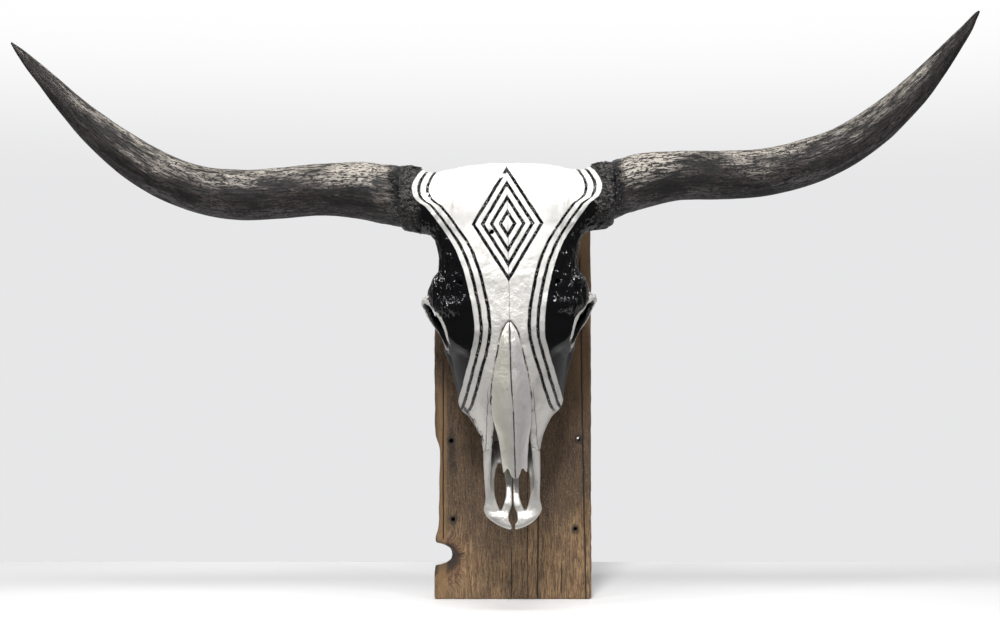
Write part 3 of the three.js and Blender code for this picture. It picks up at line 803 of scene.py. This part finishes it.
def hornTree(material):
    inputs = [(key.capitalize(), "Int" if key in ("around", "steps") else "Float", horns[key])
              for key in ("around", "steps", "lumps", "fibres", "burr", "ragged")]
    tree, graph = newTree("hornSkin", "Line", "Skin", inputs)

    def given(name):
        return graph.add("NodeGroupInput", out=name)

    def stored(geometry, name, kind, value):
        return graph.add("GeometryNodeStoreNamedAttribute", {"data_type": kind, "domain": "POINT"},
                         {"Geometry": geometry, "Name": name, "Value": value})

    line = graph.add("GeometryNodeResampleCurve", None, {"Curve": given("Line"), "Count": given("Steps")})
    position = graph.add("GeometryNodeInputPosition")
    line = stored(line, "along", "FLOAT", graph.add("GeometryNodeSplineParameter", out="Length"))
    line = stored(line, "spine", "FLOAT_VECTOR", position)
    circle = {"Resolution": given("Around"), "Radius": 1.0}
    ring = graph.add("GeometryNodeCurvePrimitiveCircle", None, circle)
    ring = stored(ring, "ring", "FLOAT_VECTOR", position)
    skin = graph.add("GeometryNodeCurveToMesh", None, {
        "Curve": line, "Profile Curve": ring, "Scale": graph.add("GeometryNodeInputRadius"),
        "Fill Caps": True})
    along = graph.named("along", "FLOAT")
    around = graph.named("ring", "FLOAT_VECTOR")
    # the first rings lean upright, so that the end lies flat against the head
    upright = along.ease(0.0, 0.07)
    x, y, z = graph.split(position)
    middleX = graph.split(graph.named("spine", "FLOAT_VECTOR"))[0]
    ragged = (graph.noise(around, 0.16, 3.0, rough=0.7) - 0.5) * (1 - along.ease(0.0, 0.012))
    outward = middleX.sign() * (ragged * given("Ragged")).most(0.0)
    place = graph.joined(middleX + (x - middleX) * upright + outward, y, z)
    skin = graph.add("GeometryNodeSetPosition", None, {"Geometry": skin, "Position": place})
    grain = hornGrain(graph, along, around)
    lumps = graph.noise(grain, 0.045, 2.0, (1, 1, 1.8)) - 0.5
    fibres = graph.noise(grain, 0.0032, 3.0, (1, 1, 12)) - 0.5
    crust = graph.noise(grain, 0.006, 3.0, (1, 1, 1.6)) - 0.5
    nearBase = 1 - along.ease(0.0, 0.055)
    fade = along.ease(0.0, 0.004)
    relief = (lumps * given("Lumps") + fibres * given("Fibres") + crust * nearBase * given("Burr")) * fade
    offset = graph.add("ShaderNodeVectorMath", {"operation": "SCALE"},
                       {0: graph.add("GeometryNodeInputNormal"), "Scale": relief * 2})
    skin = graph.add("GeometryNodeSetPosition", None, {"Geometry": skin, "Offset": offset})
    closeTree(graph, graph.add("GeometryNodeSetShadeSmooth", None, {"Geometry": skin}), material)
    return tree


# Runs a tree on an object laid out in metres in the head's frame, and gives back a plain mesh piece
def grown(source, tree, name):
    modifier = source.modifiers.new("grow", "NODES")
    modifier.node_group = tree
    for item in tree.interface.items_tree:
        if item.in_out == "INPUT" and hasattr(item, "default_value"):
            modifier[item.identifier] = item.default_value
    mesh = applied(source, modifier)
    bpy.data.objects.remove(source)
    mesh.transform(headPlace() @ Matrix.Scale(1000, 4))
    mesh.name = name
    print(f"{name}: {sum(len(p.vertices) - 2 for p in mesh.polygons)} triangles")
    return newObject(name, mesh)


def buildHorns(material):
    tree = hornTree(material)
    for side, name in ((-1, "left"), (1, "right")):
        stations = horns["lines"][side]
        line, sizes = smoothLine([p[:3] for p in stations], [p[3] for p in stations], 10)
        data = bpy.data.curves.new("hornLine", "CURVE")
        data.dimensions = "3D"
        spline = data.splines.new("POLY")
        spline.points.add(len(line) - 1)
        for point, spot, radius in zip(spline.points, line, sizes):
            point.co = (*(spot / 1000), 1)
            point.radius = radius / 1000
        piece = grown(newObject("hornLine", data), tree, f"horn_shell_{name}")
        attach(piece, "horn", f"horn_{name}")


# The cheek teeth: one crown, repeated with a size for each place in the row

teeth = {
    "crown": (24, 22, 38),  # length, width and height of the model crown
    "rows": [(-272, 28, 23, 58), (-298, 26, 24, 58.5), (-322, 23, 22, 56), (-342, 18, 19, 49.5),
             (-359, 17, 17, 42.5), (-374, 14, 14, 35.5)],  # z, length, width, x
    "step": 1.1,
    "sunk": 17,  # how far the roots start above the palate
}


def toothCrown():
    length, width, height = teeth["crown"]

    def distance(u, v, w):
        styles = 1.9 * np.cos(u / length * 4 * math.pi) * (v > 0)
        lobes = 2.2 * np.abs(np.cos(u / length * 2 * math.pi)) * (v < 0)
        flank = np.abs(v) - (width / 2 - 2.5) - styles - lobes
        taper = 1.6 * np.clip(1 - w / height, 0, 1) - 0.9
        wall = smoothMax(np.abs(u) - length / 2 + taper, flank + taper, 5)
        chew = w - height + 1.8 * np.cos(u / length * 4 * math.pi) * np.cos(v / width * 2.2)
        return smoothMax(wall, np.maximum(chew, -w), 3)

    return distance, (-15, -14, 0), (15, 14, height)


# A point for each tooth, with its turn and its size: the rows lie along the palate's slope
def toothSpots():
    length, width, height = teeth["crown"]
    slope = math.atan(palate["slope"])
    places, turns, sizes = [], [], []
    for side in (-1, 1):
        for z, long, wide, x in teeth["rows"]:
            forward = np.array((0, -math.sin(slope), -math.cos(slope))) * side  # keeps it right-handed
            down = np.array((0, math.cos(slope), -math.sin(slope)))
            turn = Matrix(np.stack([forward, (side, 0, 0), down], 1).tolist())
            places.append((side * x / 1000, (palateDepth(z) - teeth["sunk"]) / 1000, z / 1000))
            turns.append(turn.to_euler()[:])
            sizes.append((long / length, wide / width, 1.0))
    spots = bpy.data.meshes.new("toothSpots")
    spots.from_pydata(places, [], [])
    for name, values in (("turn", turns), ("size", sizes)):
        layer = spots.attributes.new(name, "FLOAT_VECTOR", "POINT")
        layer.data.foreach_set("vector", np.array(values).ravel())
    return newObject("toothSpots", spots)


def buildTeeth(enamel):
    height = teeth["crown"][2]
    crown = Field((-16, -15, -3), (16, 15, height + 4), teeth["step"])
    crown.join(toothCrown(), 0)
    for end in (-1, 1):  # the dark cups in the chewing face
        cup = [(end * 6 - 3.5, 2.5, height), (end * 6, -1.5, height), (end * 6 + 3.5, 2.5, height)]
        crown.cut(bar(cup, (1.2, 1.6, 1.2)), 1)
    points, quads = skinOf(crown)
    model = meshFrom("toothModel", relaxed(points, quads), quads, Matrix.Scale(0.001, 4), enamel)
    tree, graph = newTree("toothRows", "Spots", "Rows", [("Size", "Float", 1.0)])
    crowns = graph.add("GeometryNodeObjectInfo", None, {"Object": model}, "Geometry")
    size = graph.add("ShaderNodeVectorMath", {"operation": "SCALE"}, {
        0: graph.named("size", "FLOAT_VECTOR"), "Scale": graph.add("NodeGroupInput", out="Size")})
    spin = graph.add("FunctionNodeEulerToRotation", None, {0: graph.named("turn", "FLOAT_VECTOR")})
    rows = graph.add("GeometryNodeInstanceOnPoints", None, {
        "Points": graph.add("NodeGroupInput", out="Spots"), "Instance": crowns, "Rotation": spin,
        "Scale": size})
    closeTree(graph, rows, enamel)
    piece = grown(toothSpots(), tree, "cheek_teeth")
    bpy.data.objects.remove(model)
    attach(piece, "painted_skull", "cranium")


# The plank, in the part's own frame in millimetres: z is 0 at its middle

board = {
    "half": (117.5, 300),
    "thickness": 38,
    "left": [(-300, 0), (-257, 0), (-214, 1.5), (-186, 6.5), (-126, 7), (-80, 8), (-48, 1), (0, 0.6),
             (90, 0.4), (165, 4.5), (300, 8)],  # how far the left edge has worn back
    "right": [(-300, 0), (-110, 0.5), (300, 1.5)],
    "bite": {"height": -237, "depth": 26.5, "reach": 17.5},
    "nails": [(98, -61), (-92, -64), (-89, -181), (93, -195)],  # only the first goes right through
    "nailRadius": 3.0,
    "step": 2.2,
    "seed": 5,
    "grain": [(5, 0.12, 0.45, 51), (26, 0.3, 0.5, 52)],  # size, stretch, depth and seed of its waves
}


def plankShape():
    half, top = board["half"]
    left = profile(board["left"])
    right = profile(board["right"])
    wobble = np.random.default_rng(board["seed"]).uniform(-1, 1, 64)

    def uneven(z, size, shift):
        at = z / size + shift
        base = np.floor(at).astype(int)
        part = eased(at - base)
        first, second = (wobble[(base + k) % len(wobble)] for k in (0, 1))
        return first * (1 - part) + second * part

    def distance(x, y, z):
        wear = uneven(z, 34, 3) * 0.7 + uneven(z, 9, 11) * 0.35
        chips = np.clip(uneven(z, 12, 40), 0, 1) * 1.3 * np.clip((-28 - y) / 10, 0, 1)
        sides = smoothMax(x - half + right(z) + wear * 0.6 + chips, left(z) - half - x + wear + chips, 2)
        ends = np.abs(z) - top + 0.4 * uneven(x, 8, 0)
        faces = np.maximum(-board["thickness"] - y, y)
        return smoothMax(smoothMax(sides, faces, 3), ends, 2)

    return distance, (-half, -board["thickness"], -top), (half, 0, top)


def biteShape():
    bite = board["bite"]

    def distance(x, y, z):
        flare = 1 + 0.3 * np.clip((-14 - y) / 24, 0, 1)
        off = z - bite["height"]
        ragged = 0.7 * np.sin(off * 0.45 + y * 0.2) + 0.6 * np.sin(off * 1.3 + y * 0.4 + 1)
        deep = (x + board["half"][0]) / (bite["depth"] * flare + ragged)
        tall = off / (bite["reach"] * flare)
        near = np.sqrt(deep ** 2 + tall ** 2) + 1e-6
        return (near - 1) * bite["reach"]

    return distance, (-150, -45, bite["height"] - 30), (-70, 5, bite["height"] + 30)


def buildPlank(wood):
    half, top = board["half"]
    thickness, radius = board["thickness"], board["nailRadius"]
    field = Field((-half - 8, -thickness - 6, -top - 8), (half + 8, 6, top + 8), board["step"])
    field.join(plankShape(), 0)
    field.cut(biteShape(), 2.5)
    for number, (x, z) in enumerate(board["nails"]):
        end = 12 if number == 0 else -26  # past the back face, or 12 mm deep
        field.cut(bar([(x, -50, z), (x, end, z)], (radius, radius)), 1)
    points, quads = skinOf(field)
    points = relaxed(points, quads, 1)
    front = np.clip((-20 - points[:, 1]) / 14, 0, 1)
    relief = sum(roughness(points * (1, 1, stretch), size, seed) * depth
                 for size, stretch, depth, seed in board["grain"])
    points = points + normalsOf(points, quads) * (relief * front)[:, None]
    points[:, 1] = np.minimum(points[:, 1], 0)
    piece = meshFrom("plank_board", points, quads, Matrix.Scale(0.001, 4), wood)
    attach(piece, "old_wood", "plank")


# Finishes

paintLook = {
    "silver": tint("e4e2de"),
    "silverPaintedShade": tint("d6d3ce"),
    "silverDark": tint("8d8a87"),
    "yellowReflection": tint("c9c5ae"),
    "pinkReflection": tint("c3b9be"),
    "black": (0.002, 0.002, 0.0026, 1),
    "slate": (0.008, 0.0076, 0.0088, 1),
    "inside": (0.05, 0.05, 0.055, 1),
    "dust": tint("5f5a56"),
    "bone": tint("cdbd9c"),
    "boneDark": tint("8f7a58"),
    "metal": 0.6,
    "specular": 0.34,
    "bump": 0.0011,  # metres, as for the other finishes
    "noseBump": 0.0009,
    "fieldHalf": [(0, 104), (-22, 127), (-38, 131), (-62, 112), (-90, 91), (-120, 73), (-150, 62),
                  (-180, 55), (-210, 50), (-236, 49), (-262, 54), (-290, 62), (-318, 70), (-345, 80),
                  (-358, 100)],
    "fieldDepth": [(0, 34), (-60, 40), (-190, 40), (-230, 50), (-270, 84), (-310, 96), (-350, 98),
                   (-430, 72), (-515, 60)],  # how far back the silver reaches
    "borderLines": [(9.5, 4.6), (21.5, 4.6)],  # how far inside the field's edge, and how wide
    "rimLine": (1.6, 7.6),  # the same for the line round the eye socket, from its edge outwards
    "cheekEdge": [(-333, 71.5), (-347, 65.5), (-361, 57), (-375, 49.5), (-389, 43.5), (-403, 40.8)],
    "cheekCrack": [(-300, 30), (-340, 33), (-400, 37), (-420, 41)],
    "lozenge": {"z": -86, "slim": 0.62, "rings": (16, 36, 56, 76), "width": 8.6},
}


# The head's frame on a material, in millimetres, with the midline at x = 0
def headSpace(graph):
    return graph.onPiece(headPlace().translation[:], (0, math.radians(-headSize["tilt"]), 0))


# A smooth curve over z, from pairs of z and a value
def overZ(graph, z, pairs):
    top, bottom = pairs[0][0], pairs[-1][0]
    most = max(value for _, value in pairs)
    spots = [((top - at) / (top - bottom), value / most) for at, value in pairs]
    share = graph.add("ShaderNodeMapRange", None, {0: z, 1: float(top), 2: float(bottom), 3: 0.0, 4: 1.0})
    curve = graph.add("ShaderNodeFloatCurve", {"points": spots}, {"Factor": 1.0, "Value": share})
    return curve * most


def highest(first, *others):
    for other in others:
        first = first.most(other)
    return first


def silverFinish(graph, at, z):
    look = paintLook
    cloud = graph.noise(at, 22, 4)
    brushed = graph.noise(at, 3.2, 3, (1, 1, 2.5))
    # Painted shade: the silver darkens from the forehead down, where less of the light from above falls, and
    # again at the muzzle; the cloudy and brushed darkening is the paint's own uneven tone
    shade = graph.mix((0 - z + (cloud - 0.5) * 60).ease(90, 300), look["silver"], look["silverPaintedShade"])
    darker = (cloud.ease(0.5, 0.75) * 0.4, brushed.ease(0.62, 0.8) * 0.3, z.ease(-425, -465) * 0.3)
    return graph.layered(shade, *((mask, look["silverDark"]) for mask in darker)), brushed


# Cracks filled with black paint, in dashes: along the nasal bones' seam and their outer edges
def nasalCracks(graph, at):
    x, y, z = graph.split(at)
    wander = (graph.noise(at, 7, 3) - 0.5) * 2.6
    seamX, lean, half = (overZ(graph, z, nasal[curve]) for curve in ("seam", "lean", "half"))
    seam = (x - seamX + wander * 0.5).line(0, 1.7, 0.5)
    edges = (abs(x - lean) - half + wander).line(0.6, 2.0, 0.5) * (1 - z.ease(-330, -380) * 0.6)
    dashes = graph.noise(at, 9, 3, (1, 1, 2.2))
    broken = seam * dashes.ease(0.34, 0.42) + edges * dashes.ease(0.46, 0.54)
    return broken.least(1.0) * z.ease(-222, -230) * z.ease(-444, -438) * y.ease(36, 30)


# A crack down each cheek
def cheekCracks(graph, at, ax, y, z):
    wander = (graph.noise(at, 11, 3) - 0.5) * 4
    crack = (ax - overZ(graph, z, paintLook["cheekCrack"]) + wander).line(0, 1.1, 0.4)
    return crack * z.ease(-305, -325) * y.ease(52, 44)


# Flaked black paint along the cheeks' lower edge, more of it on the left
def cheekFlakes(graph, at, ax, y, z):
    x = graph.split(at)[0]
    outer = overZ(graph, z, paintLook["cheekEdge"]) - ax
    flakes = (graph.noise(at, 4, 4, (1, 1, 2.2), 0.7) - outer.ease(1, 10) * 0.24).ease(0.42, 0.46)
    return flakes * z.ease(-333, -346) * z.ease(-398, -388) * x.ease(60, -20) * y.ease(74, 56)


# The line of silver round the eye socket
def rimMask(graph, at, wobble, ragged):
    x, y, z = graph.split(at)
    turn = (0, math.pi / 2 + socket["outTurn"], -socket["frontTurn"])
    u, v, w = graph.split(graph.placed(graph.joined(abs(x), y, z), socket["centre"], turn, 1))
    q = ((u * u) * (1 / socket["length"] ** 2) + (v * v) * (1 / socket["depth"] ** 2)) ** 0.5
    rim = ((q - 1) * 36 + wobble * 2 + ragged).line(*paintLook["rimLine"], 0.5)
    return rim * (1 - abs(w - 4 + ragged).ease(10, 11))


# The silver field with its border lines, the nest of lozenges and the small hole left out of it
def silverMask(graph, at, wobble, ragged):
    look, lozenge = paintLook, paintLook["lozenge"]
    x, y, z = graph.split(at)
    edge = overZ(graph, z, look["fieldHalf"]) - abs(x) + wobble * 2.2 + ragged * 1.1
    depth = overZ(graph, z, look["fieldDepth"]) - y + wobble * 3 + ragged
    lines = highest(*(edge.line(*line, 0.5) for line in look["borderLines"])) * z.ease(-354, -344)
    reach = abs(x) * (1 / lozenge["slim"]) + abs(z - lozenge["z"]) + wobble * 3 + ragged * 1.6
    lines = highest(lines, *(reach.line(ring, lozenge["width"], 0.9) for ring in lozenge["rings"]))
    worn = graph.noise(at, 1.5, 3).ease(0.66, 0.6)
    holeX, holeZ = headSize["hole"]
    hole = ((x - holeX) ** 2 + (z - holeZ) ** 2) ** 0.5
    return edge.ease(-0.4, 0.4) * depth.ease(-0.5, 0.5) * (1 - lines * worn) * hole.ease(2.9, 3.5)


def paintMaterial():
    look = paintLook
    material, graph = newMaterial("skullPaint")
    at = headSpace(graph)
    x, y, z = graph.split(at)
    ax = abs(x)
    wobble = graph.noise(at, 16, 2) - 0.5
    ragged = graph.noise(at, 1.6, 2) - 0.5
    silver = silverMask(graph, at, wobble, ragged).most(rimMask(graph, at, wobble, ragged))
    silver = silver * (1 - cheekFlakes(graph, at, ax, y, z))
    # slate cheeks, gloss black temples, bare bone underneath and at the back
    slate = (wobble * 12 - z).ease(244, 280) * ax.ease(50, 60)
    bare = (y + (graph.noise(at, 24, 3) - 0.5) * 16).ease(104, 112) * z.ease(-190, -230)
    vault = (y - palateDepth(z) + 10).ease(-4, 2)
    bare = bare.most(vault * z.ease(-226, -240) * ax.ease(48, 44))
    bone = graph.mix(graph.noise(at, 9, 4).ease(0.4, 0.75), look["bone"], look["boneDark"])
    suture = (x + (graph.noise(at, 3.0, 2) - 0.5) * 3.2).line(0.3, 0.9, 0.35) * y.ease(30, 20)
    suture = suture * z.ease(-8, -20) * z.ease(-222, -218)
    cracks = nasalCracks(graph, at).most(cheekCracks(graph, at, ax, y, z) * 0.7)
    shade, brushed = silverFinish(graph, at, z)
    shade = graph.layered(shade, (suture * 0.7, look["silverDark"]), (cracks * 0.9, look["black"]))
    burr = ax.ease(116, 132)
    dusty = graph.noise(at, 3.4, 4, (1.6, 1, 1), 0.7).ease(0.46, 0.6) * burr * (1 - silver)
    colour = graph.layered(look["black"], (slate, look["slate"]), (bare, bone), (silver, shade),
                           (dusty * 0.52, look["dust"]))
    # relief: pores where the paint is thin, wrinkles down the temples, hammered silver, crusty burrs
    gloss = (1 - silver) * (1 - slate) * (1 - bare)
    pores = graph.noise(at, 2.2, 4, (1, 1, 1.6)) * 0.35 + graph.noise(at, 1.1, 2) * 0.12
    folds = graph.noise(at, 5, 1, (1, 1, 3.5), 0.5, 0.8)
    temple = ax.ease(54, 66) * (1 - silver) * z.ease(-70, -110) * z.ease(-224, -196)
    hammered = graph.noise(at, 9, 3) * silver * z.ease(-110, -150)
    lumps = graph.noise(at, 5, 1.5, rough=0.5, distortion=0.5) * 4 + graph.noise(at, 2.6, 2, rough=0.6) * 2.4
    height = (pores * (1 - gloss) + folds * temple * 4.5 + silver * 0.12 + hammered * 1.1 + lumps * burr
              - suture * 0.5)
    graph.finish({
        "Base Color": colour, "Metallic": silver * (z.ease(-90, -300) * 0.25 + look["metal"] - 0.2),
        "Roughness": 0.48 - gloss * (0.39 - dusty * 0.3) + bare * 0.2 + (brushed - 0.5) * 0.16 * (1 - gloss),
        "Normal": graph.bump(height, look["bump"]), "Specular IOR Level": look["specular"]})
    return material


def noseMaterial():
    look = paintLook
    material, graph = newMaterial("nosePaint")
    at = headSpace(graph)
    x, y, z = graph.split(at)
    shade, brushed = silverFinish(graph, at, z)
    lean, half = (overZ(graph, z, nasal[curve]) for curve in ("lean", "half"))
    # Painted reflection: over the nasal bones, a yellowish tint towards the left and a pinkish one towards
    # the right
    upper = z.ease(-446, -436) * (abs(x - lean) - half).ease(0.8, -1.5)
    tone = x + (graph.noise(at, 15, 3, (1, 1, 2)) - 0.5) * 16
    crazed = graph.noise(at, 4.5, 5, (1, 1, 2), 0.7).line(0.5, 0.035, 0.012) * z.ease(-300, -250)
    pits = graph.noise(at, 1.0, 2)
    # Painted shade: darker deeper in, in the hollow behind the nasal bones' tips
    inside = (y - 48).ease(-6, 8) * z.ease(-430, -412)
    colour = graph.layered(
        shade,
        (upper * tone.ease(6, -8) * 0.4, look["yellowReflection"]), (upper * tone.ease(-4, 10) * 0.4, look["pinkReflection"]),
        (crazed * 0.7, look["silverDark"]), (pits.ease(0.66, 0.74) * 0.4, look["silverDark"]),
        (nasalCracks(graph, at) * 0.9, look["black"]), (inside * 0.6, look["inside"]))
    height = graph.noise(at, 2.4, 4, (1, 1, 3)) * 0.4 + pits * 0.15 + graph.noise(at, 6, 3) * 0.7
    graph.finish({"Base Color": colour, "Metallic": look["metal"], "Roughness": 0.42 + (brushed - 0.5) * 0.3,
                  "Normal": graph.bump(height, look["noseBump"])})
    return material


enamelLook = {"light": tint("dccfb0"), "streak": tint("ad9468"), "stain": tint("5c4a32"),
              "root": tint("3f3122"), "bump": 0.0008}


def enamelMaterial():
    look = enamelLook
    material, graph = newMaterial("toothEnamel")
    at = headSpace(graph)
    x, y, z = graph.split(at)
    streak = graph.noise(at, 2.2, 3, (1, 4, 1))
    stain = graph.noise(at, 8, 3)
    root = (y - palateDepth(z) - 1).ease(9, 0)
    colour = graph.layered(look["light"], (streak.ease(0.4, 0.75) * 0.6, look["streak"]),
                           (stain.ease(0.5, 0.75) * 0.7, look["stain"]), (root * 0.55, look["root"]))
    graph.finish({"Base Color": colour, "Roughness": 0.3 + stain * 0.2,
                  "Normal": graph.bump(streak, look["bump"])})
    return material


hornLook = {"dark": tint("0b0909"), "mid": tint("423b39"), "pale": tint("aea79d"), "under": tint("807d80"),
            "base": (0.004, 0.004, 0.005, 1), "specular": 0.35, "bump": 0.0018}


def hornMaterial():
    look = hornLook
    material, graph = newMaterial("weatheredHorn")
    along = graph.add("ShaderNodeAttribute", {"attribute_name": "along"}, out="Fac")
    ring = graph.add("ShaderNodeAttribute", {"attribute_name": "ring"}, out="Vector")
    grain = hornGrain(graph, along, ring)
    up = graph.split(graph.add("ShaderNodeNewGeometry", out="Normal"))[2]
    fibre = graph.noise(grain, 0.003, 4, (1, 1, 6), 0.65)
    streak = graph.noise(grain, 0.008, 3, (1, 1, 8))
    patch = graph.noise(grain, 0.034, 3, (1, 1, 2.4))
    pit = graph.noise(grain, 0.0021, 2, (1, 1, 2.6), 0.6)
    crack = graph.noise(grain, 0.0034, 3, (1, 1, 7), 0.7)
    worn = highest(along.line(0.05, 0.09, 0.03) * 1.9, along.line(0.37, 0.1, 0.05),
                   along.line(0.19, 0.1, 0.04) * 0.4)  # paler in three reaches
    # Paler where the horn faces up, which is painted light from above, and in random patches, streaks,
    # fibres and three reaches along it
    wear = up * 0.66 + patch * 2.3 - 0.62 + (streak - 0.5) * 0.6 + (fibre - 0.5) * 1.2 + worn * 0.25
    # Painted reflection: a grey sheen on patches of the undersides, as from the pale floor
    under = (0 - up).ease(0.35, 0.85) * (patch + fibre * 0.6).ease(0.72, 0.95)
    pitted = pit.ease(0.55, 0.58).most(crack.ease(0.55, 0.58))
    ragged = (patch - 0.5) * 0.03 + (streak - 0.5) * 0.02 + (pit - 0.5) * 0.04
    base = (along + ragged).ease(0.016, 0.003)
    colour = graph.layered(
        look["dark"], ((fibre * 1.1 + patch * 1.6 - 0.82).ease(0.2, 0.8), look["mid"]),
        ((wear - 0.2).ease(0.45, 1.35) * 0.85, look["pale"]), (under * 0.5, look["under"]),
        (pitted * 0.95, look["dark"]), (base, look["base"]))
    lumps = graph.noise(grain, 0.005, 2) * 2.6 + graph.noise(grain, 0.0026, 2) * 1.4
    height = (fibre * 0.7 + streak * 0.4 - pitted * 1.2) * (1 - base * 0.8) + lumps * base
    graph.finish({"Base Color": colour, "Roughness": 0.6 - base * 0.46 + (fibre - 0.5) * 0.3,
                  "Normal": graph.bump(height, look["bump"]), "Specular IOR Level": look["specular"]})
    return material


woodLook = {
    "light": tint("967957"), "mid": tint("604830"), "dark": tint("24170e"), "grey": tint("43352a"),
    "pale": tint("b39c7c"), "ochre": tint("8f6f49"), "red": tint("5a3929"), "nail": tint("1d1613"),
    "crack": tint("150f0b"),
    "cracks": [(103, -0.02, -300, 220, 1.7), (40, 0.012, -300, -150, 2.0), (-2, 0.0, -300, -215, 1.0),
               (-104, 0.0, -210, 60, 1.5), (22, 0.0, -300, -40, 0.8),
               (75, 0.01, -290, -230, 0.9)],  # x, lean, lower end, upper end, width
    "knot": {"inward": 14, "down": 9, "core": 22, "reach": 36},  # from the middle of the bite
    "bump": 0.0016,
}


def woodMaterial():
    look, bite, knotAt = woodLook, board["bite"], woodLook["knot"]
    material, graph = newMaterial("oldWood")
    at = graph.onPiece()
    x, y, z = graph.split(at)
    inward = x + board["half"][0]
    above = z - bite["height"]
    # the grain bends round the knot that the bite was
    near = ((inward - knotAt["inward"]) ** 2 + ((above + knotAt["down"]) * 0.75) ** 2) ** 0.5
    knot = near.ease(knotAt["reach"], knotAt["core"])
    lip = ((inward / (bite["depth"] * 1.3)) ** 2 + (above / (bite["reach"] * 1.3)) ** 2) ** 0.5
    sway = (graph.noise(at, 90, 2, (1, 1, 2)) - 0.5) * 14
    wander = (graph.noise(at, 40, 3) - 0.5) * 5
    bent = graph.vector("ADD", at, graph.joined(sway + knot * near * 0.35, 0.0, 0.0))
    broad = graph.noise(bent, 13, 4, (1, 1, 9), 0.6)
    grain = graph.noise(bent, 1.7, 5, (1, 1, 14), 0.7)
    fibre = graph.noise(bent, 1.6, 3, (1, 1, 8), 0.7)
    splinters = graph.noise(bent, 3, 4, (1, 1, 1.6), 0.7)
    stain = graph.noise(at, 60, 6, (1, 1, 2.2), 0.72)
    fleck = graph.noise(at, 1.3, 2, (1, 1, 3), 0.6)
    # darker above and in the middle of the foot, paler at its right
    centre = (1 - abs(x + 30).ease(10, 60)) * z.ease(-180, -230)
    pale = x.ease(0, 40) * z.ease(-120, -220)
    shade = stain + centre * 0.08 - pale * 0.08 + z.ease(-250, -130) * 0.27 - 0.06
    strip = (x + sway * 0.2).line(-106, 13, 3) * z.ease(60, -20)
    cracks = highest(*(
        (x - z * lean + wander * 0.5).line(middle, width, 0.4) * z.ease(low - 3, low + 3)
        * z.ease(high, high - 25) for middle, lean, low, high, width in look["cracks"]))
    # rings of rust round the nails, and a ragged split below the left one
    ragged = (graph.noise(at, 4, 2) - 0.5) * 4
    split = (x + 90 + wander * 1.6).line(0, 10, 2) * z.ease(-122, -98) * z.ease(-48, -60)
    rust = highest(split * (splinters.ease(0.4, 0.52) * 0.75 + 0.25), *(
        (((x - nailX) ** 2 + ((z - nailZ) * 0.8) ** 2) ** 0.5 + ragged).ease(8.5, 3.5)
        for nailX, nailZ in board["nails"]))
    colour = graph.layered(
        look["mid"], (grain.ease(0.4, 0.6), look["light"]), (broad.ease(0.46, 0.7) * 0.5, look["dark"]),
        (shade.ease(0.36, 0.66) * 0.72, look["grey"]), (fibre.ease(0.52, 0.64) * 0.65, look["dark"]),
        (fleck.ease(0.58, 0.66) * 0.28, look["pale"]),
        (knot * splinters.ease(0.42, 0.56) * 0.7, look["red"]),
        (knot * splinters.ease(0.56, 0.62) * 0.8, look["dark"]),
        ((lip + (splinters - 0.5) * 1.3).ease(1.16, 1.08) * 0.85, look["dark"]),
        (strip * 0.55, look["ochre"]), (x.ease(78, 100) * z.ease(-120, 60) * 0.2, look["red"]),
        # Painted light: the top of the right edge made paler, against the shadow that the skull and horn
        # cast there
        (x.ease(80, 100) * z.ease(-60, 60) * 0.4, look["light"]),
        (rust * 0.75, look["nail"]), (cracks * 0.92, look["crack"]),
        (abs(z).ease(298.5, 299.6) * 0.5, look["mid"]))  # the last is the end grain
    height = grain * 0.7 + broad * 0.6 + fibre * 0.35 - cracks * 2.2
    graph.finish({"Base Color": colour, "Roughness": 0.72 + (grain - 0.5) * 0.3,
                  "Normal": graph.bump(height, look["bump"])})
    return material


def addStage():
    side, back, front, level = floor["side"], floor["back"], floor["front"], plankFoot[2]
    mesh = bpy.data.meshes.new("floor")
    corners = [(-side, front, level), (side, front, level), (side, back, level), (-side, back, level)]
    mesh.from_pydata(corners, [], [(0, 1, 2, 3)])
    material, graph = newMaterial("paleFloor")
    cloud = graph.noise(graph.add("ShaderNodeTexCoord", out="Object"), 0.3, 3)
    graph.finish({"Base Color": graph.mix(cloud * 0.2, floor["pale"], floor["cloud"]), "Roughness": 0.6})
    mesh.materials.append(material)
    stage = newObject("floor", mesh)


# A pale backdrop to look at, and a softer light from it than from the lamps: dim from the front
def addStudio():
    world = bpy.data.worlds.new("studio")
    world.use_nodes = True
    world.node_tree.nodes.clear()
    graph = Graph(world.node_tree)
    x, y, z = graph.split(graph.add("ShaderNodeTexCoord", out="Generated"))
    light = studio["front"] + y.ease(0.0, 0.8) * studio["behind"] + z.ease(-0.1, 0.9) * studio["above"]
    glow = graph.add("ShaderNodeBackground", None, {"Color": (1, 1, 1, 1), "Strength": light})
    seen = graph.mix(z.ease(0.08, 0.2), studio["low"], studio["high"])
    backdrop = graph.add("ShaderNodeBackground", None, {"Color": seen, "Strength": 1.0})
    direct = graph.add("ShaderNodeLightPath", out="Is Camera Ray")
    both = graph.add("ShaderNodeMixShader", None, {0: direct, 1: glow, 2: backdrop})
    graph.add("ShaderNodeOutputWorld", None, {0: both})
    bpy.context.scene.world = world
    bpy.context.scene.view_settings.view_transform = "Standard"


addCamera()
addLamps()
addStage()
addStudio()
print("stage set")
buildHead(paintMaterial(), noseMaterial())
print("skull built")
buildTeeth(enamelMaterial())
print("teeth built")
buildHorns(hornMaterial())
print("horns built")
buildPlank(woodMaterial())
print("plank built")
